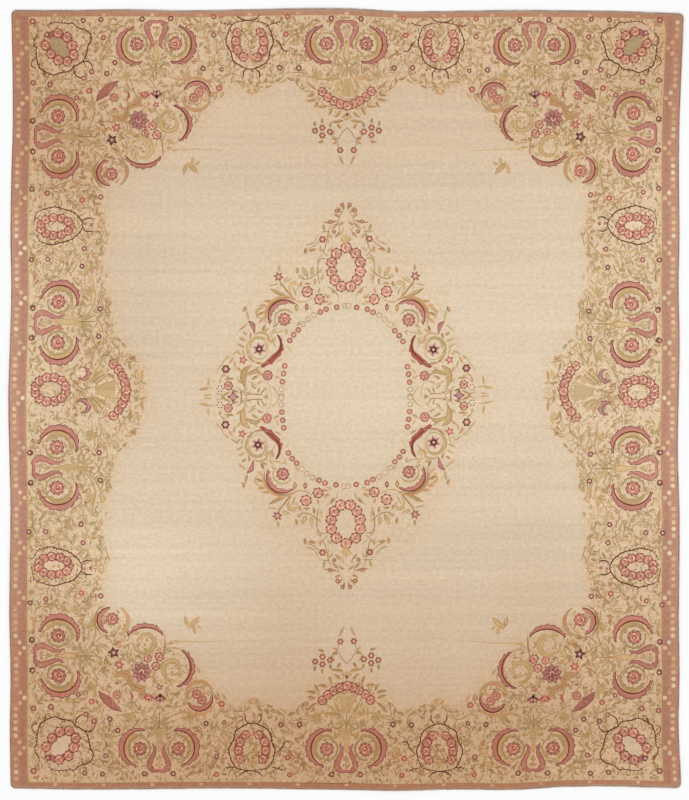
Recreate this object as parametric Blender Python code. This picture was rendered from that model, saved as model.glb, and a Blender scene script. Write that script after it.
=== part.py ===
"""A room-size Agra rug, laid flat: one knotted carpet with an overcast cord along each of its four edges.

Run with blender --background --python part.py. Metres, +Z up. The rug lies on Z = 0 with its length along Y,
and the origin is the middle of its underside.
"""

import math

import bmesh
import bpy
from mathutils import Vector

# Driving sizes of the whole rug, over the cords at its widest and longest
WIDTH = 3.684
LENGTH = 4.270
THICKNESS = 0.009
CORNER_RADIUS = 0.028

# The overcast cords, and the gaps that they keep to the carpet and to each other.
# A bevel resolution of 2 makes a cord eight-sided.
CORD_RADIUS = 0.0035
CORD_BEVEL_RESOLUTION = 2
GAP = 0.0003
CORD_END_GAP = 0.0016

# Spacing of the points along the edges and of the cuts that let the cloth bend
EDGE_STEP = 0.075
BEND_STEP = 0.125
ARC_STEPS = 8

# The wools, as linear colours
PILE_CREAM = (0.72, 0.60, 0.42)
SIDE_ROSE_BROWN = (0.42, 0.27, 0.21)
END_GREY_BROWN = (0.36, 0.29, 0.24)
WOOL_ROUGHNESS = 0.95

MM = 0.001

# How far the worn edge stands in from the rug's widest line: along_m, left_mm, right_mm
SIDE_EDGES = [
    (2.10, 16, 0),
    (1.80, 22, 11),
    (1.50, 23, 22),
    (1.20, 15, 25),
    (0.90, 11, 22),
    (0.60, 15, 27),
    (0.30, 8, 22),
    (0.00, 0, 27),
    (-0.30, 5, 31),
    (-0.60, 11, 22),
    (-0.90, 8, 23),
    (-1.20, 5, 26),
    (-1.50, 11, 22),
    (-1.80, 7, 26),
    (-2.10, 11, 14),
]

# The same at the two ends: across_m, top_mm, bottom_mm
END_EDGES = [
    (-1.80, 8, 12),
    (-1.50, 8, 7),
    (-1.20, 6, 7),
    (-0.90, 11, 11),
    (-0.60, 6, 12),
    (-0.30, 1, 8),
    (0.00, 0, 5),
    (0.30, 15, 0),
    (0.60, 13, 7),
    (0.90, 10, 4),
    (1.20, 11, 21),
    (1.50, 14, 23),
    (1.80, 27, 15),
]

# Low ripples where the edges have stretched: x_m, y_m, rise_mm, reach_x_m, reach_y_m
RIPPLES = [
    (-1.10, 2.10, 4.0, 0.30, 0.42),
    (-0.15, 2.12, 5.5, 0.42, 0.50),
    (0.95, 2.12, 4.0, 0.34, 0.40),
    (1.78, 2.04, 5.0, 0.30, 0.36),
    (1.72, 0.32, 3.0, 0.28, 0.42),
    (1.76, -1.10, 3.0, 0.30, 0.45),
    (1.66, -2.10, 5.0, 0.34, 0.34),
    (0.30, -2.12, 4.5, 0.42, 0.45),
    (-0.85, -2.10, 3.5, 0.36, 0.40),
    (-1.78, -1.00, 3.5, 0.30, 0.50),
    (-1.80, 0.10, 4.0, 0.30, 0.50),
]


def clear_scene():
    for old in list(bpy.data.objects):
        bpy.data.objects.remove(old)


def wool(name, colour):
    """A matt wool in one colour."""
    material = bpy.data.materials.new(name)
    material.use_nodes = True
    shader = material.node_tree.nodes["Principled BSDF"]
    shader.inputs["Base Color"].default_value = (*colour, 1.0)
    shader.inputs["Roughness"].default_value = WOOL_ROUGHNESS
    shader.inputs["Metallic"].default_value = 0.0
    return material


def read_edge(table, column, along):
    """The inset in metres at a place along an edge, on a smooth curve through the table's rows."""
    rows = sorted(table)
    step = rows[1][0] - rows[0][0]
    place = (along - rows[0][0]) / step
    first = min(max(math.floor(place), 0), len(rows) - 2)
    t = min(max(place - first, 0.0), 1.0)
    before, start, end, after = (rows[min(max(first + k, 0), len(rows) - 1)][column] for k in (-1, 0, 1, 2))
    rising = (end - before) / 2
    leaving = (after - start) / 2
    smooth = 3 * t * t - 2 * t**3
    value = start * (1 - smooth) + end * smooth
    value += rising * (t**3 - 2 * t * t + t) + leaving * (t**3 - t * t)
    return max(value, 0.0) * MM


def lift(x, y):
    """How high the underside stands off the floor."""
    height = 0.0
    for row_x, row_y, rise, reach_x, reach_y in RIPPLES:
        reach = math.hypot((x - row_x) / reach_x, (y - row_y) / reach_y)
        if reach < 1:
            height += rise * MM * math.cos(reach * math.pi / 2) ** 2
    return height


def evenly(start, end, step):
    """Places from start to end, about step apart."""
    count = max(1, round(abs(end - start) / step))
    return [start + (end - start) * k / count for k in range(count + 1)]


def rug_edges():
    """The four edges as lists of points, anticlockwise from the bottom left, each with half of its corners."""
    half_w, half_l = WIDTH / 2, LENGTH / 2

    def bottom(x):
        return Vector((x, -half_l + read_edge(END_EDGES, 2, x)))

    def right(y):
        return Vector((half_w - read_edge(SIDE_EDGES, 2, y), y))

    def top(x):
        return Vector((x, half_l - read_edge(END_EDGES, 1, x)))

    def left(y):
        return Vector((-half_w + read_edge(SIDE_EDGES, 1, y), y))

    corner = {
        "bottom_left": Vector((left(-half_l).x, bottom(-half_w).y)),
        "bottom_right": Vector((right(-half_l).x, bottom(half_w).y)),
        "top_right": Vector((right(half_l).x, top(half_w).y)),
        "top_left": Vector((left(half_l).x, top(-half_w).y)),
    }
    r = CORNER_RADIUS
    low_left, low_right = corner["bottom_left"], corner["bottom_right"]
    high_right, high_left = corner["top_right"], corner["top_left"]
    edges = {
        "bottom": [bottom(x) for x in evenly(low_left.x + r, low_right.x - r, EDGE_STEP)],
        "right": [right(y) for y in evenly(low_right.y + r, high_right.y - r, EDGE_STEP)],
        "top": [top(x) for x in evenly(high_right.x - r, high_left.x + r, EDGE_STEP)],
        "left": [left(y) for y in evenly(high_left.y - r, low_left.y + r, EDGE_STEP)],
    }
    names = list(edges)
    whole = dict(edges)
    for name, following in zip(names, names[1:] + names[:1]):
        arc = corner_arc(edges[name][-1], edges[following][0], along_x=name in ("bottom", "top"))
        middle = len(arc) // 2
        whole[name] = whole[name] + arc[: middle + 1]
        whole[following] = arc[middle:] + whole[following]
    return whole


def corner_arc(start, end, along_x):
    """The points of a quarter ellipse strictly between two edges' ends."""
    centre = Vector((start.x, end.y)) if along_x else Vector((end.x, start.y))
    points = []
    for k in range(1, ARC_STEPS):
        angle = math.pi / 2 * k / ARC_STEPS
        points.append(centre + (start - centre) * math.cos(angle) + (end - centre) * math.sin(angle))
    return points


def moved_in(edges, distance):
    """The four edges moved into the rug, which is to the left of their anticlockwise line."""
    line = [point for points in edges.values() for point in points[:-1]]
    count = len(line)
    moved = []
    for k, point in enumerate(line):
        along = (line[(k + 1) % count] - line[k - 1]).normalized()
        moved.append(point + Vector((-along.y, along.x)) * distance)
    inner = {}
    start = 0
    for name, points in edges.items():
        end = start + len(points) - 1
        inner[name] = moved[start:end] + [moved[end % count]]
        start = end
    return inner


def make_carpet(edges, material):
    """The knotted carpet: the outline's face, cut into a grid so that it can bend, raised to its thickness."""
    inner = moved_in(edges, 2 * CORD_RADIUS + GAP)
    outline = [point for points in inner.values() for point in points[:-1]]
    bm = bmesh.new()
    bm.faces.new([bm.verts.new((point.x, point.y, 0)) for point in outline])
    for x in evenly(-WIDTH / 2, WIDTH / 2, BEND_STEP)[1:-1]:
        cut(bm, Vector((x, 0, 0)), Vector((1, 0, 0)))
    for y in evenly(-LENGTH / 2, LENGTH / 2, BEND_STEP)[1:-1]:
        cut(bm, Vector((0, y, 0)), Vector((0, 1, 0)))
    raised = bmesh.ops.extrude_face_region(bm, geom=bm.faces[:], use_keep_orig=True)
    upper = [v for v in raised["geom"] if isinstance(v, bmesh.types.BMVert)]
    bmesh.ops.translate(bm, verts=upper, vec=(0, 0, THICKNESS))
    bmesh.ops.triangulate(bm, faces=bm.faces[:])
    bmesh.ops.recalc_face_normals(bm, faces=bm.faces[:])
    for vert in bm.verts:
        vert.co.z += lift(vert.co.x, vert.co.y)
    mesh = bpy.data.meshes.new("carpet")
    bm.to_mesh(mesh)
    bm.free()
    add_object("carpet", mesh, material)


def cut(bm, place, across):
    bmesh.ops.bisect_plane(bm, geom=bm.verts[:] + bm.edges[:] + bm.faces[:], plane_co=place, plane_no=across)


def make_cord(name, points, material):
    """An overcast cord along one edge, from corner to corner, lying on the floor and over the ripples."""
    line = list(points)
    line[0] = line[0] + (line[1] - line[0]).normalized() * CORD_END_GAP / 2
    line[-1] = line[-1] + (line[-2] - line[-1]).normalized() * CORD_END_GAP / 2
    curve = bpy.data.curves.new(name, "CURVE")
    curve.dimensions = "3D"
    curve.bevel_depth = CORD_RADIUS
    curve.bevel_resolution = CORD_BEVEL_RESOLUTION
    curve.use_fill_caps = True
    spline = curve.splines.new("POLY")
    spline.points.add(len(line) - 1)
    for point, place in zip(spline.points, line):
        point.co = (place.x, place.y, CORD_RADIUS + lift(place.x, place.y), 1.0)
    add_object(name, curve, material)


def add_object(name, data, material):
    thing = bpy.data.objects.new(name, data)
    data.materials.append(material)
    bpy.context.scene.collection.objects.link(thing)


def main():
    clear_scene()
    pile = wool("cream pile wool", PILE_CREAM)
    side_wool = wool("faded rose overcasting", SIDE_ROSE_BROWN)
    end_wool = wool("grey-brown overcasting", END_GREY_BROWN)
    edges = rug_edges()
    make_carpet(edges, pile)
    cords = moved_in(edges, CORD_RADIUS)
    make_cord("side_cord_left", cords["left"], side_wool)
    make_cord("side_cord_right", cords["right"], side_wool)
    make_cord("end_cord_top", cords["top"], end_wool)
    make_cord("end_cord_bottom", cords["bottom"], end_wool)


main()
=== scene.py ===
"""An Agra rug laid flat: one knotted carpet with its pattern cut wool by wool, and four overcast edges."""

import cmath
import math
import random

import bmesh
import bpy
import numpy as np
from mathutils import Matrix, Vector
from mathutils.bvhtree import BVHTree
from mathutils.geometry import delaunay_2d_cdt


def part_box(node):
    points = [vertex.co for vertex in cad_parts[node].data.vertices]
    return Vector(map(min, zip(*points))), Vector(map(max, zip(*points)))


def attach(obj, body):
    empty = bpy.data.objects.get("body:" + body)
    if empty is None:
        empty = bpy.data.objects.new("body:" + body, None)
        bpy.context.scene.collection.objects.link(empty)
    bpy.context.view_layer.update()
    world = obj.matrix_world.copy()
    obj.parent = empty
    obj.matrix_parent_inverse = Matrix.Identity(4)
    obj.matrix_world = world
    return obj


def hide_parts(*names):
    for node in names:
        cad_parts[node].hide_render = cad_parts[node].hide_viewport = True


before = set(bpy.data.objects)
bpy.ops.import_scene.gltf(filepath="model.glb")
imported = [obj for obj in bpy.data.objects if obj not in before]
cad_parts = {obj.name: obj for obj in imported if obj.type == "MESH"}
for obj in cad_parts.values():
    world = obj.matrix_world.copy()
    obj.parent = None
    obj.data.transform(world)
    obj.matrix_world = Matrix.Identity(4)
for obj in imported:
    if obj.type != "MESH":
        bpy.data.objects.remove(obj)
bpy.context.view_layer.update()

# The camera. It looks straight down at the middle of the rug from high up, as for a catalogue picture,
# with the rug's top end upwards.
LENS_MM = 85.0
SENSOR_MM = 36.0
VIEW_LENGTH = 4.360
VIEW_MIDDLE = (-0.008, -0.002)

camera_data = bpy.data.cameras.new("copy stand camera")
camera_data.lens = LENS_MM
camera_data.sensor_width = SENSOR_MM
camera_data.clip_end = 100.0
camera_height = VIEW_LENGTH * LENS_MM / SENSOR_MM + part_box("carpet")[1][2]
camera = bpy.data.objects.new("copy stand camera", camera_data)
camera.location = (*VIEW_MIDDLE, camera_height)
bpy.context.scene.collection.objects.link(camera)
bpy.context.scene.camera = camera

# The weaver's cartoon. The carpet is knotted from a drawing on squared paper: places on it are complex
# numbers, counted in squares across from the left and down from the top. The four quarters mirror each other.
# A square is as large as a pixel of the reference photograph, and the motifs' places were read from it.
SQUARE = 0.00545
PAPER_MIDDLE = complex(346.0, 399.7)
MIRROR_ACROSS = 346.0
MIRROR_DOWN = 396.0


def on_paper(x, y):
    """The place on the cartoon of a point on the floor."""
    return PAPER_MIDDLE + complex(x, -y) / SQUARE


def on_floor(at):
    """The point on the floor, in metres, of a place on the cartoon."""
    moved = (at - PAPER_MIDDLE) * SQUARE
    return moved.real, -moved.imag


def read_outline():
    """The carpet's outline on the floor, as a closed list of places on the cartoon, from the CAD node."""
    carpet = bpy.data.objects["carpet"].data
    bm = bmesh.new()
    bm.from_mesh(carpet)
    bmesh.ops.remove_doubles(bm, verts=bm.verts[:], dist=0.00001)
    bmesh.ops.delete(bm, geom=[f for f in bm.faces if f.normal.z > -0.5], context="FACES")
    edge = next(e for e in bm.edges if e.is_boundary)
    first, vert = edge.verts
    ring = [first]
    while vert != first:
        ring.append(vert)
        edge = next(e for e in vert.link_edges if e.is_boundary and e != edge)
        vert = edge.other_vert(vert)
    places = [on_paper(v.co.x, v.co.y) for v in ring]
    bm.free()
    return places


outline = read_outline()


def read_sides(ring):
    """Each side of the outline as its places along, in order, and how far across or down it lies there."""
    left = min(at.real for at in ring)
    right = max(at.real for at in ring)
    top = min(at.imag for at in ring)
    bottom = max(at.imag for at in ring)
    found = {"left": [], "right": [], "top": [], "bottom": []}
    for at in ring:
        away = {
            "left": at.real - left,
            "right": right - at.real,
            "top": at.imag - top,
            "bottom": bottom - at.imag,
        }
        side = min(away, key=away.get)
        found[side].append((at.imag, at.real) if side in ("left", "right") else (at.real, at.imag))
    return {side: np.array(sorted(rows)).T for side, rows in found.items()}


sides = read_sides(outline)


cartoon_rng = random.Random(11)

# The borders' and corners' motifs, all in the top left quarter of the cartoon. Each table lists places in
# squares, across and down. What stands on a mirror line is drawn whole and kept apart.
quarter = []
on_long_axis = []
on_cross_axis = []

# The corner wreath: a ring of small roses with a bare thorny twig round it. Every patch of one wool is a
# closed line of places, and a motif is a list of such patches with their wools, painted in order. Motifs are
# drawn with their tops upwards.


def smooth(points, steps=3):
    """A smooth line through the points, with a few steps from each to the next."""
    ends = [2 * points[0] - points[1], *points, 2 * points[-1] - points[-2]]
    line = []
    for before, start, end, after in zip(ends, ends[1:], ends[2:], ends[3:]):
        for k in range(steps):
            t = k / steps
            bend = before - 2.5 * start + 2 * end - after / 2
            twist = 1.5 * (start - end) + (after - before) / 2
            line.append(start + t * (end - before) / 2 + t**2 * bend + t**3 * twist)
    return [*line, points[-1]]


def arc(middle, radius, start, end, steps):
    """Places along an arc from one angle to another, in degrees clockwise from the right."""
    angles = [math.radians(start + (end - start) * k / steps) for k in range(steps + 1)]
    return [middle + cmath.rect(radius, angle) for angle in angles]


def stroke(points, widths, steps=3, teeth=0.0):
    """A band along a smooth line, as wide in turn as widths says.

    Teeth on its left swell over three points, lean ahead and drop back, as on an acanthus leaf.
    """
    line = smooth(points, steps)
    half = np.interp(np.linspace(0, 1, len(line)), np.linspace(0, 1, len(widths)), widths) / 2
    left, right = [], []
    for k, at in enumerate(line):
        ahead = line[min(k + 1, len(line) - 1)] - line[max(k - 1, 0)]
        ahead /= abs(ahead)
        tooth = teeth * (0.0, 0.6, 1.0)[k % 3] * (0 < k < len(line) - 1) * (0.8 + 0.4 * math.sin(2.9 * k))
        left.append(at - 1j * ahead * (half[k] + tooth) + ahead * tooth * (k % 3 == 2))
        right.append(at + 1j * ahead * half[k])
    return left + right[::-1]


def stripe(wool, points, widths, steps=2, teeth=0.0):
    """A motif's patch that is a stroke of one wool, in a list of its own."""
    return [(wool, stroke(points, widths, steps, teeth))]


def disc(at, across, down=None, turn=0.0, points=8, dent=0.0):
    """A round or oval patch. With a dent, every second point is drawn in, which makes petals."""
    down = across if down is None else down
    spin = cmath.exp(1j * math.radians(turn))
    ring = []
    for k in range(points):
        angle = 2 * math.pi * k / points
        reach = 1 - dent * (k % 2)
        ring.append(at + spin * complex(across * math.cos(angle), down * math.sin(angle)) * reach)
    return ring


def leaf(base, tip, width):
    """A pointed leaf."""
    along = tip - base
    across = 1j * along / abs(along) * width / 2
    near, far = base + 0.32 * along, base + 0.68 * along
    return [base, near - 0.9 * across, far - 0.8 * across, tip, far + 0.8 * across, near + 0.9 * across]


def two_sided_leaf(base, tip, width, shade, light):
    """A pointed leaf with one side in shade and the other in light."""
    along = tip - base
    aside = 0.16j * along / abs(along) * width
    return [
        (shade, leaf(base, tip, width)),
        (light, leaf(base + 0.12 * along + aside, tip + aside, 0.5 * width)),
    ]


def rose(at, r, turn=0.0, body="old rose"):
    """A small rose of the wreaths: a dark frilled edge, curled pale petals and a dark eye to one side."""
    shapes = [("madder brown", disc(at, 1.06 * r, turn=turn, points=14, dent=0.15))]
    shapes.append((body, disc(at, 0.90 * r, turn=turn + 13, points=14, dent=0.13)))
    for start, end, out, width in ((0, 120, 0.52, 0.34), (170, 240, 0.58, 0.26), (270, 330, 0.30, 0.22)):
        curl = arc(at, out * r, turn + start, turn + end, 3)
        shapes += stripe("shell pink", curl, (0.4 * width * r, width * r, 0.4 * width * r), steps=1)
    fold = arc(at, 0.20 * r, turn - 20, turn + 150, 3)
    shapes += stripe("madder red", fold, (0.08 * r, 0.22 * r, 0.10 * r), steps=1)
    return shapes


def small_flower(at, r=2.7, turn=0.0, wool="plum"):
    """One of the little dark flowers that stand between the motifs."""
    return [
        (wool, disc(at, 1.1 * r, turn=turn, points=12, dent=0.24)),
        ("old rose", disc(at, 0.66 * r, turn=turn, points=12, dent=0.30)),
        ("shell pink", disc(at, 0.30 * r, points=5)),
    ]


def twig(points, rng, width=1.2, thorns=True):
    """A bare dark branch with thorns, some with a small leaf at the tip."""
    shapes = []
    if thorns:
        for before, at in zip(points, points[1:]):
            for start in (at, (before + at) / 2):
                away = (at - before) / abs(at - before) * cmath.exp(1j * rng.choice((-0.8, 0.8)))
                tip = start + rng.uniform(2.0, 4.2) * away
                shapes.append(("walnut", leaf(start, tip, 0.9)))
                if rng.random() < 0.75:
                    along = rng.uniform(3.6, 5.4) * away * cmath.exp(1j * rng.uniform(-0.6, 0.6))
                    shapes += two_sided_leaf(
                        tip, tip + along, 2.5, "leaf olive", rng.choice(("moss", "straw", "amber"))
                    )
    shapes += stripe("walnut", points, (0.7, width, width, width, 0.7))
    return shapes


CORNER_ROSES = [
    # across, down, radius
    (57.4, 32.6, 5.2),
    (66.7, 36.6, 5.4),
    (72.0, 45.0, 5.6),
    (73.8, 54.2, 5.4),
    (67.2, 61.0, 5.3),
    (58.2, 59.8, 5.5),
    (50.6, 53.4, 5.1),
    (45.0, 44.9, 5.1),
]
CORNER_TWIG = [
    (46, 26),
    (53, 22),
    (60, 22.5),
    (67, 23),
    (73, 23),
    (79, 28),
    (84, 28.5),
    (90, 33),
    (91.5, 39),
    (88, 46),
    (87.2, 52),
    (84, 60),
    (78, 64),
    (74, 66),
    (69, 71),
    (60, 72),
    (54, 74.5),
    (47, 72),
    (40, 68),
    (37, 61),
    (36, 54),
    (35.5, 48),
    (33.2, 42.5),
    (35, 37),
    (38, 32.5),
]
quarter.append(("mauve", disc(59.8 + 46.5j, 20.0, 14.6, turn=42, points=24, dent=0.06)))
quarter.append(("sage", disc(59.8 + 46.5j, 13.0, 7.4, turn=42, points=14)))
for across, down, r in CORNER_ROSES:
    quarter += rose(complex(across, down), r, turn=cartoon_rng.uniform(0, 120))
quarter.append(("mauve plum", disc(complex(46.6, 34.5), 3.6, 4.4, turn=35, points=10, dent=0.2)))
quarter.append(("shell pink", disc(complex(46.2, 34.0), 1.3, points=5)))
quarter.append(("straw", leaf(complex(44, 36.5), complex(50.5, 42), 3.0)))
quarter += twig([complex(*row) for row in CORNER_TWIG], cartoon_rng)
quarter += twig([82 + 62j, 87 + 60.5j, 91.5 + 63j, 93.6 + 68j], cartoon_rng, thorns=False)
quarter += twig([73.5 + 66j, 74.5 + 72j, 78 + 76j, 83 + 78j], cartoon_rng, thorns=False)
quarter += twig([36 + 57j, 32 + 60j, 31 + 65j, 36 + 68j], cartoon_rng, width=0.9, thorns=False)
quarter += twig([38 + 67j, 43 + 70j, 45 + 76j], cartoon_rng, width=1.0)
quarter += small_flower(92.3 + 71j, 3.2, wool="mauve plum")
quarter += small_flower(84.2 + 77.5j, 2.9, wool="mauve plum")

# The lyre: a gold vase between two toothed scrolls, each round a full rose. It is drawn once, in its own
# squares about the middle between its roses, and knotted fourteen times round the borders.


def placed(shapes, at=0j, turn=0.0, size=1.0, flip=False):
    """The shapes put somewhere, turned clockwise by some degrees. A flip mirrors them left to right first."""
    spin = size * cmath.exp(1j * math.radians(turn))
    return [
        (wool, [at + spin * (-point.conjugate() if flip else point) for point in points])
        for wool, points in shapes
    ]


def both_hands(shapes):
    """The shapes and their mirror image, left to right."""
    return shapes + placed(shapes, flip=True)


def rosette(at, r, turn=0.0, outer="plum", inner="shell pink"):
    """A full rose: a dark frilled edge, dark and pale curls between its petals, and a folded heart."""
    shapes = [(outer, disc(at, 1.05 * r, turn=turn, points=18, dent=0.13))]
    shapes.append(("old rose", disc(at, 0.92 * r, turn=turn + 10, points=18, dent=0.11)))
    for start, end, out in ((10, 95, 0.70), (125, 215, 0.66), (240, 335, 0.72)):
        line = arc(at, out * r, turn + start, turn + end, 3)
        shapes += stripe("madder red", line, (0.08 * r, 0.15 * r, 0.08 * r), steps=1)
        line = arc(at, (out - 0.18) * r, turn + start + 8, turn + end - 20, 3)
        shapes.append((inner, stroke(line, (0.08 * r, 0.20 * r, 0.08 * r), steps=1)))
    heart = at + cmath.rect(0.08 * r, math.radians(turn + 70))
    shapes.append(("madder red", disc(heart, 0.30 * r, points=8)))
    shapes.append((inner, disc(heart + 0.06 * r, 0.17 * r, 0.12 * r, turn=turn, points=6)))
    return shapes


def fan(base, way, spread, count, length, width, wools=("old gold", "straw")):
    """Leaves that open like a fan from one place, the middle ones longest."""
    shapes = []
    for k in range(count):
        off = (k / (count - 1) - 0.5) * spread
        reach = length * (1 - 0.25 * abs(2 * k / (count - 1) - 1))
        tip = base + cmath.rect(reach, math.radians(way + off))
        shapes.append((wools[k % len(wools)], leaf(base, tip, width)))
    return shapes


def crescent(middle, radius, start, end, width, inner="leaf olive", teeth=1.7, vein=-1):
    """A toothed acanthus scroll along an arc, with a dark vein along its inside (-1) or its outside (1).

    An inner wool adds a golden leaf within the arc.
    """
    steps = max(4, round(radius * math.radians(end - start) / 4.0))
    shapes = []
    if inner:
        line = arc(middle, radius - width / 2 - 2.2, end - 12, start + 12, steps)
        shapes.append((inner, stroke(line, (0.8, 3.6, 4.4, 3.6, 0.8), steps=2, teeth=1.7)))
        line = arc(middle, radius - width / 2 - 1.5, end - 16, start + 16, steps)
        shapes += stripe("old gold", line, (0.4, 2.0, 2.6, 2.0, 0.4), teeth=1.0)
    line = arc(middle, radius, start, end, steps)
    fill = arc(middle, radius - 0.2, start + 3, end - 3, steps)
    if vein > 0:
        line, fill = line[::-1], fill[::-1]
    shapes += stripe("mauve plum", line, (0.9, 0.8 * width, width, 0.8 * width, 0.9), teeth=teeth)
    widths = (0.4, 0.58 * width, 0.74 * width, 0.58 * width, 0.4)
    shapes += stripe("madder pink", fill, widths, teeth=0.8 * teeth)
    shapes += stripe("old rose", fill[2:-2], (0.3, 0.30 * width, 0.3))
    line = arc(middle, radius, start, end, steps)
    for k, at in enumerate(line):
        aside = 0.38 * width * math.sin(math.pi * (k + 0.4) / (steps + 0.8))
        line[k] = at + vein * aside * (at - middle) / abs(at - middle)
    shapes += stripe("madder brown", line, (0.8, 1.2, 1.5, 1.3, 0.7))
    return shapes


lyre = crescent(-20 + 0j, 17.8, 72, 262, 5.8)
lyre += stripe("leaf olive", arc(-19.5 - 1j, 10.4, -110, 80, 9), (0.6, 1.4, 1.8, 1.4, 0.6), teeth=1.1)
lyre += rosette(-19.6 - 1j, 7.0, turn=10)
lyre.append(("old gold", leaf(-27 - 13j, -19 - 15.5j, 2.4)))
lyre.append(("moss", leaf(-20 + 14.5j, -13 + 9j, 2.4)))
lyre += stripe("old gold", [-3.0 + 17j, -6 + 13j, -10 + 11j], (1.2, 1.8, 0.8))
lyre += stripe("walnut gold", [-2.0 + 24j, -7 + 20j, -12 + 18.4j], (1.2, 1.8, 0.8))
for base, tip in (
    (-5.5 + 14j, -11.5 + 13.4j),
    (-6 + 20.6j, -8.5 + 15.6j),
    (-9 + 19j, -14.5 + 21.5j),
):
    lyre.append(("moss", leaf(base, tip, 2.6)))
HORSESHOE = [
    0 - 22.4j, -5.6 - 22.2j, -9.2 - 19j, -9.0 - 14.5j, -6.6 - 9j, -4.4 - 4j, -4.4 + 0.5j, -7.2 + 4.2j
]
lyre += stripe("mauve plum", HORSESHOE, (4.0, 5.6, 6.4, 6.2, 5.2, 4.2, 3.4, 1.4), teeth=-0.8)
lyre += stripe("madder pink", HORSESHOE, (2.4, 4.0, 4.8, 4.6, 3.6, 2.6, 2.0, 0.6), teeth=-0.5)
lyre += stripe("old rose", HORSESHOE[1:6], (0.4, 1.2, 1.4, 1.0, 0.4))
lyre = both_hands(lyre)
heart = [
    0 - 20.5j, 3.6 - 20.5j, 5.0 - 17j, 3.6 - 11j, 1.6 - 6j, -1.6 - 6j, -3.6 - 11j, -5.0 - 17j, -3.6 - 20.5j
]
lyre.append(("shell pink", [1.14 * (point + 14j) - 14j for point in heart]))
lyre.append(("ground", heart))
lyre += stripe("moss", [0 - 19j, 0 - 6j], (1.4, 0.8))
for side in (-1, 1):
    lyre.append(("old gold", leaf(0 - 9j, complex(3.2 * side, -13.5), 1.5)))
    lyre.append(("old rose", disc(complex(2.5 * side, -17.2), 1.6, points=8, dent=0.3)))
    lyre.append(("moss", leaf(0 - 7j, complex(2.2 * side, -10.4), 1.1)))
vase = [
    -1.2 - 5j,
    1.2 - 5j,
    2.2 + 4j,
    3.6 + 10j,
    3.0 + 15j,
    1.2 + 19j,
    -1.2 + 19j,
    -3.0 + 15j,
    -3.6 + 10j,
    -2.2 + 4j,
]
lyre.append(("old gold", vase))
lyre.append(("straw", [0.66 * point + 2.2j for point in vase]))
lyre += stripe("walnut gold", [0 + 19j, 0 + 35j], (1.8, 1.5, 0.8))
for side in (-1, 1):
    for across, down, wool in ((13, 25.5, "moss"), (11.5, 31, "old gold"), (6, 35, "moss")):
        lyre.append((wool, leaf(complex(0.8 * side, 22.5), complex(across * side, down), 2.6)))
    lyre.append(("moss", leaf(complex(0.8 * side, 18), complex(8 * side, 21), 2.2)))
    stem = [complex(x * side, y) for x, y in ((4, 29), (12, 31), (22, 35), (33, 33), (46, 31.5))]
    lyre += stripe("old gold", stem, (0.8, 1.2, 1.8, 2.0, 0.8))
    lyre += fan(complex(29 * side, 33), -90 + 12 * side, 110, 5, 10, 2.6, wools=("old gold", "moss"))
    lyre += small_flower(complex(14.6 * side, -26), 3.0)
    lyre.append(("moss", leaf(complex(13.5 * side, -23), complex(7.5 * side, -16), 1.8)))

quarter += placed(lyre, 158 + 45j)
on_long_axis += placed(lyre, 346 + 43j)
quarter += placed(lyre, 59.5 + 135.5j, turn=-90, size=1.03)
quarter += placed(lyre, 59.5 + 323.5j, turn=-90, size=1.05)


# The second wreath of the top border: two curved rows of roses in a thorny twig, with gold leaves between
# them, and two bare stems and a gold tulip below.


def tulip(at, way, size, wool="old rose", cup="plum"):
    """A flower in side view, opening in the direction of way."""
    ahead = cmath.rect(size, math.radians(way))
    shapes = [
        (wool, leaf(at, at + 1.25 * ahead * cmath.exp(1j * side), 0.50 * size))
        for side in (-0.9, 0.9, -0.45, 0.45)
    ]
    shapes.append((wool, leaf(at, at + 1.2 * ahead, 0.5 * size)))
    for side in (-0.5, 0.5):
        tip = at + 0.95 * ahead * cmath.exp(1j * side)
        shapes.append(("shell pink", leaf(at + 0.3 * ahead, tip, 0.2 * size)))
    shapes.append((cup, leaf(at - 0.3 * ahead, at + 0.5 * ahead, 0.6 * size)))
    return shapes


SECOND_ROSES = [
    # across, down, radius
    (239.5, 33.6, 4.9),
    (237.8, 42.0, 5.0),
    (239.6, 50.3, 5.0),
    (245.0, 57.4, 4.8),
    (262.2, 33.0, 5.0),
    (265.0, 41.6, 5.0),
    (264.0, 50.2, 5.0),
    (258.2, 57.2, 4.8),
]
SECOND_TWIG = [
    (250, 21.6),
    (240.6, 23),
    (234.5, 25.7),
    (230.4, 33),
    (228, 44),
    (232.5, 51.7),
    (234.5, 60.5),
    (237, 63),
    (246.8, 68.7),
    (256.3, 68.4),
    (266.6, 62.6),
    (270.3, 55.7),
    (271.3, 49),
    (274.4, 43.5),
    (273.7, 37.3),
    (271.3, 29.8),
    (268, 24.4),
    (255.7, 22),
]
for side in (-1, 1):
    ring = [complex(251.5 + side * x, y) for x, y in ((10, 30), (13.5, 37), (14, 46), (11, 54), (4, 60.5))]
    quarter += stripe("mauve", ring, (5, 8.0, 9.0, 8.5, 6))
for across, down, r in SECOND_ROSES:
    quarter += rose(complex(across, down), r, turn=cartoon_rng.uniform(0, 120))
quarter += fan(251 + 31j, -90, 150, 5, 7, 3.0)
quarter += fan(251.5 + 56j, 90, 120, 4, 8, 3.0, wools=("straw", "old rose"))
quarter += twig([complex(*row) for row in SECOND_TWIG], cartoon_rng)
quarter += twig([239 + 17j, 244 + 20.5j, 251 + 21.6j, 257.5 + 20j, 262 + 15.5j], cartoon_rng, thorns=False)
quarter += twig([236 + 25.5j, 231 + 25.3j, 225 + 25j], cartoon_rng, width=1.0)
quarter += twig([271 + 25j, 277 + 23.5j, 282 + 21j], cartoon_rng, width=1.0)
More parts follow.
